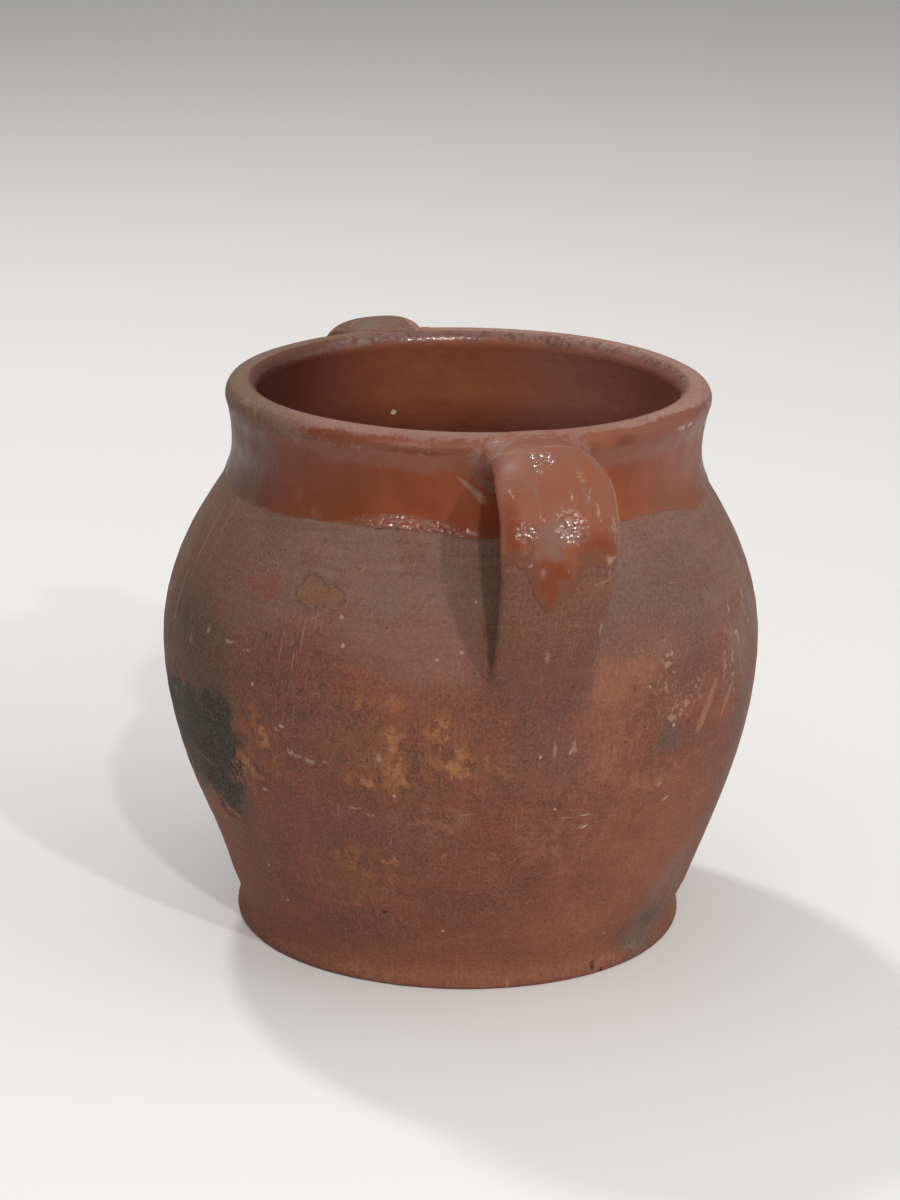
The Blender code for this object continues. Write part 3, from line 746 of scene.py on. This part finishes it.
def addHoney(tree, fields, colour, relief, gloss):
    look, coords, flat = glaze, fields["coords"], fields["flat"]
    height, angle, mid = fields["height"], fields["angle"], fields["mid"]
    small, stray = fields["small"], fields["stray"]
    across = addNode(tree, "ShaderNodeCombineXYZ", {0: fields["side"], 1: height}).outputs[0]
    frayed = ragged(tree, coords, flat, *look["neckEdge"])
    acrossFrayed = ragged(tree, coords, across, *look["strapEdge"])
    onStrap = ramp(tree, fields["radius"], *look["strapFrom"])
    offStrap = minus(tree, 1.0, onStrap)

    def strapPlaces(places, soft):
        there = [(math.degrees(x / (1000 * flatRadius)), *rest) for x, *rest in places]
        return times(tree, spots(tree, acrossFrayed, there, soft), onStrap)

    def eitherPlaces(neckPlaces, places, soft):    # neck places off the straps, strap places on them
        there = strapPlaces(places, soft)
        here = times(tree, spots(tree, frayed, neckPlaces, soft), offStrap)
        return larger(tree, here, there)

    colour = paint(tree, times(tree, onStrap, look["strapSalmon"]), colour, look["salmon"])
    fields["drawn"] = grain(tree, coords, *look["strapGrain"])
    colour = paintLayers(tree, fields, colour, look, look["strapLayers"], onStrap)
    fields["level"] = plus(tree, height, times(tree, stray, look["levelStray"]))
    # the neck's pale band under the lip is a painted sheen, and its darker sides are painted shade
    colour = paintLayers(tree, fields, colour, look, look["neckLayers"], offStrap)
    rubbed = eitherPlaces(look["wornPlaces"], look["strapWorn"], look["wornSoft"])
    rubbed = times(tree, rubbed, ramp(tree, small, *look["wornPatches"]))
    colour = paint(tree, larger(tree, fields["worn"], rubbed), colour, look["bloomAndPaintedLight"])
    for mark in look["strapMarks"]:
        patches = strapPlaces(mark["places"], mark["soft"])
        patches = times(tree, patches, ramp(tree, fields[mark["field"]], *mark["patches"]))
        colour = paint(tree, patches, colour, look[mark["tint"]])
    # painted shade round the left of the neck, then grey at both sides: partly dust, partly a painted sheen
    turned = plus(tree, angle, times(tree, stray, look["turnStray"]))
    leftOnly = times(tree, ramp(tree, angle, *look["leftFrom"]), offStrap)
    dullShade = times(tree, ramp(tree, turned, *look["dullShadeLeft"]), leftOnly)
    colour = paint(tree, dullShade, colour, look["dullShade"])
    dustAndSheen = times(tree, ramp(tree, turned, *look["dustAndSheenLeft"]), leftOnly)
    right = times(tree, ramp(tree, turned, *look["dustAndSheenRight"]), ramp(tree, angle, *look["rightTo"]))
    dustAndSheen = larger(tree, dustAndSheen, times(tree, right, offStrap))
    colour = paint(tree, dustAndSheen, colour, look["dustAndSheen"])

    bubbles = eitherPlaces(look["bubblePlaces"], look["strapBubbles"], look["bubbleSoft"])
    values = {"Vector": coords, "Scale": look["bubbleCells"]}
    cells = addNode(tree, "ShaderNodeTexVoronoi", values).outputs["Distance"]
    domes = calc(tree, "POWER", cells, 2.0)
    domes = times(tree, domes, ramp(tree, onStrap, 0.0, 1.0, *look["bubbleDomes"]))
    relief = minus(tree, relief, times(tree, bubbles, domes))
    ridges = spots(tree, flat, look["ridgeShine"], look["ridgeSoft"])
    ridges = times(tree, ridges, ramp(tree, small, *look["ridgePatches"]))
    shiny = larger(tree, bubbles, times(tree, ridges, offStrap))
    gloss = plus(tree, gloss, times(tree, onStrap, look["strapRough"]))
    gloss = addNode(tree, "ShaderNodeMix", {0: shiny, 2: gloss, 3: look["bubbleRough"]}).outputs[0]
    chips = strapPlaces(look["strapChips"], look["chipSoft"])
    chips = times(tree, chips, ramp(tree, small, *look["chipPatches"]))
    # pale strap edges from the mesh: rubbed wear, and a painted highlight
    edge = addNode(tree, "ShaderNodeAttribute", attribute_name="worn").outputs["Fac"]
    chips = larger(tree, chips, times(tree, edge, ramp(tree, mid, *look["chipEdges"])))
    # a painted highlight streak by the strap's root, and painted shade under the lines on the lip
    for mark in look["neckMarks"]:
        patches = spots(tree, flat, mark["places"], mark["soft"])
        patches = times(tree, patches, times(tree, offStrap, mark["strength"]))
        colour = paint(tree, patches, colour, look[mark["tint"]])

    cover = addNode(tree, "ShaderNodeAttribute", attribute_name="cover").outputs["Fac"]
    smallPatches, midPatches = look["coverPatches"]
    patchy = times(tree, minus(tree, small, 0.5), smallPatches)
    patchy = plus(tree, patchy, times(tree, stray, midPatches))
    cover = ramp(tree, plus(tree, cover, patchy), *look["coverFrom"])
    bare = paint(tree, onStrap, look["bare"], strapColour(tree, fields["drawn"]))
    rim = ramp(tree, height, *look["bareLip"])
    rim = times(tree, rim, ramp(tree, onStrap, 0.0, 1.0, 1.0, look["bareLipOnStraps"]))
    bare = paint(tree, rim, bare, lipColour(tree, fields))
    colour = paint(tree, cover, bare, colour)
    colour = paint(tree, times(tree, chips, look["chipStrength"]), colour, look["pale"])
    gloss = plus(tree, gloss, ramp(tree, cover, 1.0, 0.0, 0.0, look["bareRough"]))
    beaded, plain = look["coat"]
    shine = plus(tree, times(tree, shiny, beaded), times(tree, offStrap, plain))
    return colour, relief, gloss, times(tree, cover, shine)


def makeGlaze(name, look, addLook):
    made, tree, shader = newMaterial(name)
    fields = surfaceFields(tree, {**anyGlaze["grains"], "runs": look["runs"]})
    broad, mid = fields["broad"], fields["mid"]
    fields["stray"] = minus(tree, mid, 0.5)
    colour = paintLayers(tree, fields, look["deep"], look, anyGlaze["ground"])
    worn = ramp(tree, mid, *anyGlaze["worn"])
    fields["worn"] = times(tree, worn, ramp(tree, broad, *anyGlaze["wornBroadly"]))
    relief = plus(tree, mid, times(tree, fields["small"], anyGlaze["smallRelief"]))
    gloss = ramp(tree, mid, *anyGlaze["gloss"], *look["rough"])
    colour, relief, gloss, coat = addLook(tree, fields, colour, relief, gloss)
    sockets = {"Coat Weight": coat, "Base Color": colour, "Roughness": gloss,
               "Specular IOR Level": anyGlaze["specular"], "Coat Roughness": look["coatRough"],
               "Coat IOR": anyGlaze["coatIor"]}
    finishMaterial(tree, shader, sockets, relief, *anyGlaze["bump"])
    return made


clayLook = makeClay()
glazeLook = makeGlaze("honeyGlaze", glaze, addHoney)
liningLook = makeGlaze("liningGlaze", lining, addLining)
print("materials made")

# Thrown body
body = {
    "turns": 240, "underRings": (0.0, 0.03, 0.06), "floorRings": (0.045, 0.02, 0.0),
    "footSteps": 7, "wallSteps": 100, "neckFrom": 0.180, "neckSteps": 26, "insideSteps": 60,
    "lipSteps": 60, "lipEnd": 200,    # degrees round the lip's roll, down to the inner wall
}


def bodyOutline():
    points = [(r, 0.0) for r in body["underRings"]]
    edge = (pot["foot"] - pot["footRound"], pot["footRound"])
    points += [roundPoint(edge, pot["footRound"], math.radians(a)) for a in range(-90, 1, 15)]
    waist, blend = (pot["waist"], pot["waistHeight"]), pot["waistBlend"]
    step = 0.001
    blendSlope = (wallRadius(blend + step) - wallRadius(blend - step)) / (2 * step)
    steps, neckFrom = body["footSteps"], body["neckFrom"]
    for i in range(steps):
        z = pot["footBand"] + (waist[1] - pot["footBand"]) * i / steps
        points.append((smoothRadius((pot["foot"], pot["footBand"]), waist, 0, 0, z), z))
    for i in range(2 * steps):
        z = waist[1] + (blend - waist[1]) * i / (2 * steps)
        points.append((smoothRadius(waist, (wallRadius(blend), blend), 0, blendSlope, z), z))
    wall = (blend, neckFrom, body["wallSteps"])
    neck = (neckFrom, lipFoot[1], body["neckSteps"])
    for low, high, steps in (wall, neck):
        for i in range(steps):
            z = low + (high - low) * i / steps
            points.append((wallRadius(z), z))
    start, steps = math.degrees(pot["lipStart"]), body["lipSteps"]
    for i in range(steps + 1):
        turn = math.radians(start + (body["lipEnd"] - start) * i / steps)
        points.append(roundPoint(lipCentre, pot["lipRound"], turn))
    return points + insideOutline()


def insideOutline():
    # the inner wall keeps the wall's thickness down to the round corner of the floor
    points = []
    cornerHeight = pot["floor"] + pot["corner"]
    high, low, steps = pot["neckHeight"], cornerHeight + pot["corner"], body["insideSteps"]
    for i in range(steps + 1):
        z = high + (low - high) * i / steps
        out = wallNormal(z)
        points.append((wallRadius(z) - pot["wall"] * out.x, z - pot["wall"] * out.y))
    centre = (wallRadius(cornerHeight) - pot["wall"] - pot["corner"], cornerHeight)
    points += [roundPoint(centre, pot["corner"], math.radians(a)) for a in range(0, -91, -10)]
    return points + [(r, pot["floor"]) for r in body["floorRings"]]


def makeBody():
    bm = bmesh.new()
    verts = [bm.verts.new((r, 0, z)) for r, z in bodyOutline()]
    edges = [bm.edges.new(pair) for pair in zip(verts, verts[1:])]
    bmesh.ops.spin(bm, geom=verts + edges, cent=(0, 0, 0), axis=(0, 0, 1), angle=math.tau,
                   steps=body["turns"], use_merge=True)
    bmesh.ops.remove_doubles(bm, verts=bm.verts, dist=1e-6)
    for v in bm.verts:
        radius = v.co.xy.length
        if radius > rings["radiusFrom"]:
            outside = radius > wallRadius(v.co.z) - pot["wall"] / 2
            turn = roundAt(v.co)
            swell = throwingRings(turn, v.co.z, rings["outside" if outside else "inside"])
            swell += lipLine(turn, v.co.z) if outside else 0.0
            v.co.xy *= 1 + swell / radius
        v.co = handMade(v.co)
    return finishPiece("potBody", bm, clayLook, ["thrown_body"])


makeBody()

# Strap handles, each with its dip in glaze: how whole it is, and its drips as (across, width, length)
straps = {
    "front": {
        "turn": 0.0, "rise": math.radians(16), "width": 0.0390, "seed": 1.0, "crown": 0.0016,
        "cover": 0.95,
        "drips": [(-0.42, 0.16, 0.06), (-0.16, 0.22, 0.13), (0.16, 0.14, 0.07), (0.7, 0.2, 0.02)],
    },
    "rear": {
        "turn": math.radians(185.5), "rise": math.radians(30), "width": 0.0340, "seed": 5.0, "crown": 0.0,
        "cover": 0.30,
        "drips": [(0.25, 0.25, 0.09), (-0.5, 0.3, 0.03)],
    },
}
strapShape = {
    "rootWidth": 0.0320, "thickness": 0.0112, "rootThickness": 0.0150, "flare": 1 / 6, "power": 0.9,
    "fingerRoom": 0.0330, "outermostDrop": 0.0300, "upperDrop": 0.0095, "upperBow": 0.0240,
    "crestBow": 0.0200, "outerBow": 0.0190, "lowerHeight": 0.1150, "lowerBow": 0.0190,
    "lowerDive": math.radians(52), "depth": 0.0060, "lipShare": 0.80, "spread": 0.34,
    "crownAt": 0.13, "crownReach": 0.10, "lump": 0.0003, "lumpSize": 6, "rows": 56, "around": 40,
}
strapWearAndHighlight = {"at": 0.25, "reach": 0.16, "otherEdge": 0.2, "fade": 1.5}


def curvePoint(a, b, c, d, s):
    rest = 1 - s
    return a * rest**3 + b * 3 * rest**2 * s + c * 3 * rest * s**2 + d * s**3


def strapPath(strap, u):    # (outwards, height) of the strap's middle, from lip (0) to belly (1)
    shape = strapShape
    upper = Vector((lipCentre[0], pot["height"] - shape["upperDrop"]))
    outer = Vector((0, pot["height"] - shape["outermostDrop"]))
    outer.x = wallRadius(outer.y) + shape["fingerRoom"] + shape["thickness"] / 2
    lower = Vector((wallRadius(shape["lowerHeight"]) - shape["depth"], shape["lowerHeight"]))
    if u < 0.5:
        leave = upper + shape["upperBow"] * Vector((math.cos(strap["rise"]), math.sin(strap["rise"])))
        return curvePoint(upper, leave, outer + Vector((0, shape["crestBow"])), outer, 2 * u)
    dive = shape["lowerDive"]
    arrive = lower + shape["lowerBow"] * Vector((math.cos(dive), math.sin(dive)))
    return curvePoint(outer, outer - Vector((0, shape["outerBow"])), arrive, lower, 2 * u - 1)


def strapPoint(strap, u, angle, grow=0.0):
    shape = strapShape
    middle, step = strapPath(strap, u), 0.01
    along = (strapPath(strap, min(u + step, 1)) - strapPath(strap, max(u - step, 0))).normalized()
    taper = max(0.0, 2 * u - 1)
    flare = max(0.0, 1 - min(u, 1 - u) / shape["flare"])**2
    rise = min(1.0, u / shape["spread"])
    width = strap["width"] * (shape["lipShare"] + (1 - shape["lipShare"]) * rise * rise * (3 - 2 * rise))
    width += (shape["rootWidth"] - strap["width"]) * taper
    thick = shape["thickness"] + (shape["rootThickness"] - shape["thickness"]) * flare
    c, s = math.cos(angle), math.sin(angle)
    lump = shape["lump"] * noise.noise(Vector((shape["lumpSize"] * u + strap["seed"], c, s)))
    across = math.copysign(abs(c)**shape["power"], c) * (width / 2 + grow + lump)
    lift = math.copysign(abs(s)**shape["power"], s) * (thick / 2 + grow + lump)
    lift += strap["crown"] * max(0.0, s)**2 * math.exp(-((u - shape["crownAt"]) / shape["crownReach"])**2)
    point = Vector((across, along.y * lift - middle.x, middle.y + along.x * lift))
    return Matrix.Rotation(strap["turn"], 3, "Z") @ point


def edgeWearAndHighlight(angle):    # the strap's edges are painted pale, one more than the other: rubbed wear, and a painted highlight
    share = 1.0 if math.cos(angle) > 0 else strapWearAndHighlight["otherEdge"]
    share *= clamp(1 - abs(math.sin(angle) - strapWearAndHighlight["at"]) / strapWearAndHighlight["reach"])
    return share * clamp(abs(math.cos(angle)) * strapWearAndHighlight["fade"])


def makeStrap(side):
    strap, rows, around = straps[side], strapShape["rows"], strapShape["around"]

    def place(row, k):
        angle = math.tau * k / around
        return handMade(strapPoint(strap, row / (rows - 1), angle)), 0.0, edgeWearAndHighlight(angle)

    bm = bmesh.new()
    loft(bm, rows, around, place)
    bmesh.ops.holes_fill(bm, edges=[e for e in bm.edges if e.is_boundary], sides=around)
    return finishPiece(side + "Strap", bm, clayLook, [side + "_handle"])


for side in straps:
    makeStrap(side)

# Slip wiped round the straps' roots, as a soft fillet from strap to wall
slip = {
    "rows": 14, "around": 80, "steps": 200, "cover": 0.40,
    "crestWear": 1.4, "crestAt": 0.10, "crestReach": 0.16,
    # hidden in the clay: how deep, and how far past the fillet's ends on strap (share) and wall
    "deep": 0.0030, "tuckShare": 1.4, "underReach": 0.0030,
    "wallFrom": 0.012, "facing": (0.02, 0.1995),    # the heights it keeps to on the wall
    # search along the strap, lift off the surfaces, then reach along the strap (share of its length) and
    # over the wall (metres) at the sides, with what the outer and under faces add
    "upper": {"from": 0.42, "to": 0.0, "lift": 0.00026, "tuck": 0.00005, "dive": -0.00030,
              "along": 0.055, "alongOuter": 0.060, "alongUnder": -0.010,
              "over": 0.0045, "overOuter": 0.0010, "overUnder": 0.0010},
    "lower": {"from": 0.58, "to": 1.0, "lift": 0.00010, "tuck": -0.00035, "dive": -0.00035,
              "along": 0.060, "alongOuter": 0.060, "alongUnder": -0.015,
              "over": 0.0080, "overOuter": 0.0160, "overUnder": -0.0030},
}


def outsideBy(p):    # how far a point lies outside the pot's wall
    out = p.xy.length
    if p.z > lipFoot[1]:
        return math.hypot(out - lipCentre[0], p.z - lipCentre[1]) - pot["lipRound"]
    return out - wallRadius(p.z)


def onWall(p, lift):    # the nearest place on the wall, lifted off it
    out, z = p.xy.length, p.z
    if z > lipFoot[1]:
        normal = Vector((out - lipCentre[0], z - lipCentre[1])).normalized()
        r, z = Vector(lipCentre) + normal * (pot["lipRound"] + lift)
        return Vector((p.x / out * r, p.y / out * r, z))
    for _ in range(5):
        normal = wallNormal(z)
        z = min(max(p.z - (out - wallRadius(z)) * normal.y / normal.x, slip["wallFrom"]), lipFoot[1])
    return wallPlace(roundAt(p), z, lift)


def rootLine(strap, reach, upper, angle):
    # where one line along the strap meets the wall, with the fillet's ends on strap and wall
    lift, side = reach["lift"], math.sin(angle)
    face = "Outer" if side > 0 else "Under"
    back = reach["along"] + reach["along" + face] * abs(side)
    over = reach["over"] + reach["over" + face] * abs(side)
    start, end = reach["from"], reach["to"]
    for i in range(slip["steps"] + 1):
        u = start + (end - start) * i / slip["steps"]
        if outsideBy(strapPoint(strap, u, angle, lift)) < lift:
            break
    if not upper:
        back = -back
    meet = strapPoint(strap, u, angle, lift)
    middle = strapPath(strap, u)
    centre = Matrix.Rotation(strap["turn"], 3, "Z") @ Vector((0, -middle.x, middle.y))
    lowest, highest = slip["facing"]
    out = wallNormal(min(max(meet.z, lowest), highest))
    radial = Vector((meet.x, meet.y, 0)).normalized()
    normal = Vector((radial.x * out.x, radial.y * out.x, out.y))
    away = meet - centre
    away = (away - normal * away.dot(normal)).normalized()
    return {
        "tuck": strapPoint(strap, u + slip["tuckShare"] * back, angle, reach["tuck"]),
        "strap": strapPoint(strap, u + back, angle, lift),
        "meet": meet,
        "wall": onWall(meet + away * over, lift),
        "under": onWall(meet + away * (over + slip["underReach"]), reach["dive"]),
        "deep": meet - normal * slip["deep"],
    }


def makeSlip(side, upper):
    strap, rows, around = straps[side], slip["rows"], slip["around"]
    reach = slip["upper" if upper else "lower"]
    lines = [rootLine(strap, reach, upper, math.tau * k / around) for k in range(around)]

    def place(row, k):
        line = lines[k]
        if row in (0, rows + 3):
            return handMade(line["tuck"]), slip["cover"], 0.0
        if row <= rows:
            s = (row - 1) / (rows - 1)
            spot = line["strap"] * (1 - s)**2 + line["meet"] * 2 * s * (1 - s) + line["wall"] * s**2
            crest = clamp(1 - abs(s - slip["crestAt"]) / slip["crestReach"])    # rubbed pale over the crest
            crest *= slip["crestWear"] * max(0.0, math.sin(math.tau * k / around))**0.5
            return handMade(spot), slip["cover"], crest if upper else 0.0
        return handMade(line["under" if row == rows + 1 else "deep"]), slip["cover"], 0.0

    bm = bmesh.new()
    loft(bm, rows + 4, around, place)
    bmesh.ops.remove_doubles(bm, verts=bm.verts, dist=1e-6)
    name = side + ("UpperSlip" if upper else "LowerSlip")
    node = side + ("_upper_slip" if upper else "_lower_slip")
    return finishPiece(name, bm, glazeLook if upper else clayLook, [node])


for side in straps:
    makeSlip(side, True)
    makeSlip(side, False)

# Honey glaze dipped round the neck, with a ragged, beaded lower edge
backRows = 12
neckDip = {
    "around": 400, "rows": 100, "thick": 0.00016, "sunk": 0.0004,
    "bead": 0.00035, "beadAt": -27, "beadReach": 13, "beadRise": 0.0015, "beadHeight": 0.0009,
    "beadShares": (0.15, 0.85),    # all round, and at the beaded place
    # the edge's height in millimetres round the pot, by angle in degrees, with its fray as (size, amount)
    "edge": [(-180, 166), (-130, 163), (-95, 166), (-64, 164.6), (-41, 166.5), (-22, 166.7), (-12, 164.8),
             (10, 166), (33, 166.5), (56, 162.6), (100, 165), (140, 163), (180, 166)],
    "fray": [(9.0, 0.55), (26.0, 0.40), (60.0, 0.25)], "feather": 0.0022, "edgeCover": 0.15,
    "top": 0.1993, "topFray": [(4, 0.0008), (20, 0.0004)],
    # how far it is worn off the lip, by angle, and where the lip and its crest begin
    "lipWear": [(-180, 0.60), (-62, 0.66), (-45, 0.46), (-12, 0.34), (10, 0.34), (18, 0.24), (48, 0.28),
                (64, 0.50), (180, 0.60)],
    "lipFrom": 0.1875, "lipRise": 0.0055, "crestFrom": 0.1974, "crestRise": 0.0022, "crestWear": 1.3,
}


def byAngle(table, angle):    # a value eased between a table's angles
    degrees = (math.degrees(angle) + 180) % 360 - 180
    low, high = next(p for p in zip(table, table[1:]) if p[0][0] <= degrees <= p[1][0])
    s = (degrees - low[0]) / (high[0] - low[0])
    return low[1] + (high[1] - low[1]) * s * s * (3 - 2 * s)


def neckEdge(angle):
    ring = Vector((math.cos(angle), math.sin(angle), 0.0))
    fray = sum(amount * noise.noise(ring * size) for size, amount in neckDip["fray"])
    return (byAngle(neckDip["edge"], angle) + fray) / 1000


def neckTop(angle):
    ring = Vector((math.cos(angle), math.sin(angle), 3.0))
    top = neckDip["top"]
    for size, amount in neckDip["topFray"]:
        top += amount * noise.noise(ring * size)
    return top


def neckCover(angle, z, bottom):
    # whole on the neck, feathered at the edge and patchy on the lip
    lip = clamp((z - neckDip["lipFrom"]) / neckDip["lipRise"])
    crest = clamp((z - neckDip["crestFrom"]) / neckDip["crestRise"])
    wear = byAngle(neckDip["lipWear"], angle) * (lip + neckDip["crestWear"] * crest)
    return min((z - bottom) / neckDip["feather"] + neckDip["edgeCover"], 1 - wear)


def dipRow(row, rows):    # share of the way down the dip, and whether the row is its hidden back
    if row < rows:
        return row / (rows - 1), False
    return 1 - (row - rows + 1) / backRows, True


def makeNeckGlaze():
    around, rows = neckDip["around"], neckDip["rows"]
    everywhere, there = neckDip["beadShares"]

    def place(row, k):
        angle = math.tau * k / around - math.pi
        s, back = dipRow(row, rows)
        bottom, top = neckEdge(angle), neckTop(angle)
        z = top + (bottom - top) * s
        turn = (math.degrees(angle) - neckDip["beadAt"]) / neckDip["beadReach"]
        rise = (z - bottom - neckDip["beadRise"]) / neckDip["beadHeight"]
        beaded = everywhere + there * math.exp(-turn**2)
        lift = neckDip["thick"] + neckDip["bead"] * beaded * math.exp(-rise**2)
        if s in (0.0, 1.0) or back:
            lift = -neckDip["sunk"]
        return handMade(wallPlace(angle, z, lift)), neckCover(angle, z, bottom), 0.0

    bm = bmesh.new()
    loft(bm, rows + backRows, around, place)
    bmesh.ops.remove_doubles(bm, verts=bm.verts, dist=1e-6)
    return finishPiece("neckGlaze", bm, glazeLook, ["neck_glaze"])


makeNeckGlaze()

# The same dip over the straps, in shares of a strap's length
strapDip = {
    "rows": 60, "around": 120, "start": 0.03, "edge": 0.52, "fray": [(2.5, 0.012), (8, 0.014), (19, 0.018)],
    "thick": 0.00016, "sunk": 0.0003, "bead": 0.00006, "beadAt": 0.02, "beadReach": 0.012,
    "length": 0.110, "feather": 0.0130, "edgeCover": 0.1,    # metres down the strap, and across the edge
    "rootCover": 0.42, "rootRise": 3, "nudge": 0.06,
}


def dipEdge(strap, angle):
    c, s = math.cos(angle), math.sin(angle)
    edge = strapDip["edge"]
    for size, amount in strapDip["fray"]:
        edge += amount * noise.noise(Vector((c * size, s * size, strap["seed"])))
    if s > 0:
        edge += sum(length * math.exp(-((c - x) / width)**2) for x, width, length in strap["drips"]) * s
    return edge


def dipCover(strap, u, angle):    # how far inside the dip's edge a spot lies, up to whole
    nudge = strapDip["nudge"]
    slope = (dipEdge(strap, angle + nudge) - dipEdge(strap, angle - nudge)) / (2 * nudge)
    slope *= strapDip["length"] / (strap["width"] / 2)
    inside = (dipEdge(strap, angle) - u) * strapDip["length"] / math.hypot(1, slope)
    root = strapDip["rootCover"] + strapDip["rootRise"] * u
    return min(strap["cover"], inside / strapDip["feather"] + strapDip["edgeCover"], root)


def makeStrapGlaze(side):
    strap, rows, around = straps[side], strapDip["rows"], strapDip["around"]

    def place(row, k):
        angle = math.tau * k / around
        s, back = dipRow(row, rows)
        edge = dipEdge(strap, angle)
        u = strapDip["start"] + (edge - strapDip["start"]) * s
        rise = (edge - u - strapDip["beadAt"]) / strapDip["beadReach"]
        lift = strapDip["thick"] + strapDip["bead"] * math.exp(-rise**2)
        if s in (0.0, 1.0) or back:
            lift = -strapDip["sunk"]
        return handMade(strapPoint(strap, u, angle, lift)), dipCover(strap, u, angle), edgeWearAndHighlight(angle)

    bm = bmesh.new()
    loft(bm, rows + backRows, around, place)
    bmesh.ops.remove_doubles(bm, verts=bm.verts, dist=1e-6)
    return finishPiece(side + "StrapGlaze", bm, glazeLook, [side + "_handle_glaze"])


for side in straps:
    makeStrapGlaze(side)

# Dark glaze lining
inside = {
    "around": 240, "thick": 0.0003, "depth": 0.0006, "backStep": 6,
    "lipTop": math.radians(112), "lipSteps": 12,    # it starts past the lip's crest
}


def makeLining():
    around, steps, start = inside["around"], inside["lipSteps"], inside["lipTop"]
    turns = [start + (math.radians(body["lipEnd"]) - start) * i / steps for i in range(steps + 1)]
    line = [roundPoint(lipCentre, pot["lipRound"], turn) for turn in turns] + insideOutline()
    count = len(line)
    behind = list(range(count - 1, 0, -inside["backStep"])) + [0]
    normals = []
    for i in range(count):
        along = (Vector(line[min(i + 1, count - 1)]) - Vector(line[max(i - 1, 0)])).normalized()
        normals.append(Vector((along.y, -along.x)))

    def place(row, k):
        angle = math.tau * k / around
        i = row if row < count else behind[row - count]
        lift = inside["thick"] if 0 < row < count else -inside["depth"]
        r, z = Vector(line[i]) + normals[i] * lift
        if i == count - 1:
            r, z = 0.0, pot["floor"] + lift
        if r > rings["radiusFrom"]:
            r += throwingRings(angle, z, rings["inside"])
        return handMade(Vector((math.sin(angle) * r, -math.cos(angle) * r, z))), 1.0, 0.0

    bm = bmesh.new()
    loft(bm, count + len(behind), around, place)
    bmesh.ops.remove_doubles(bm, verts=bm.verts, dist=1e-6)
    return finishPiece("insideGlaze", bm, liningLook, ["inside_glaze"])


makeLining()

# Stage: a plain pale floor under soft studio light
stage = {"floorSize": 14.0, "floor": (0.76, 0.75, 0.735), "floorRough": 0.8,
         "sky": (1.0, 0.99, 0.97), "skyStrength": 0.24, "aim": Vector((0, 0, 0.1))}
lamps = {
    # name: (angle round from the front handle, elevation, distance, size, watts)
    "key": (-4, 40, 1.8, 0.06, 8.0),
    "second": (15, 36, 1.8, 0.06, 7.5),
    "overhead": (-60, 80, 3.0, 7.0, 72.0),
    "behind": (-165, 52, 1.9, 0.15, 12.0),
    "left": (-95, 30, 1.9, 1.0, 0.6),
    "right": (72, 30, 1.9, 1.8, 10.0),
}


def makeStage():
    bm = bmesh.new()
    bmesh.ops.create_grid(bm, x_segments=8, y_segments=8, size=stage["floorSize"] / 2)
    mesh = bpy.data.meshes.new("paleFloor")
    bm.to_mesh(mesh)
    bm.free()
    floor = bpy.data.objects.new("paleFloor", mesh)
    scene.collection.objects.link(floor)
    made, _, shader = newMaterial("paleFloor")
    shader.inputs["Base Color"].default_value = (*stage["floor"], 1)
    shader.inputs["Roughness"].default_value = stage["floorRough"]
    mesh.materials.append(made)
    world = bpy.data.worlds.new("softSky")
    world.use_nodes = True
    sky = world.node_tree.nodes["Background"]
    sky.inputs["Color"].default_value = (*stage["sky"], 1)
    sky.inputs["Strength"].default_value = stage["skyStrength"]
    scene.world = world
    for name, (turn, rise, distance, size, watts) in lamps.items():
        data = bpy.data.lights.new(name, "AREA")
        data.size = size
        data.energy = watts
        lamp = bpy.data.objects.new(name, data)
        scene.collection.objects.link(lamp)
        a, e = math.radians(turn), math.radians(rise)
        way = Vector((math.sin(a) * math.cos(e), -math.cos(a) * math.cos(e), math.sin(e)))
        lamp.location = way * distance + stage["aim"]
        lamp.rotation_euler = way.to_track_quat("Z", "Y").to_euler()


makeStage()
print("stage lit")
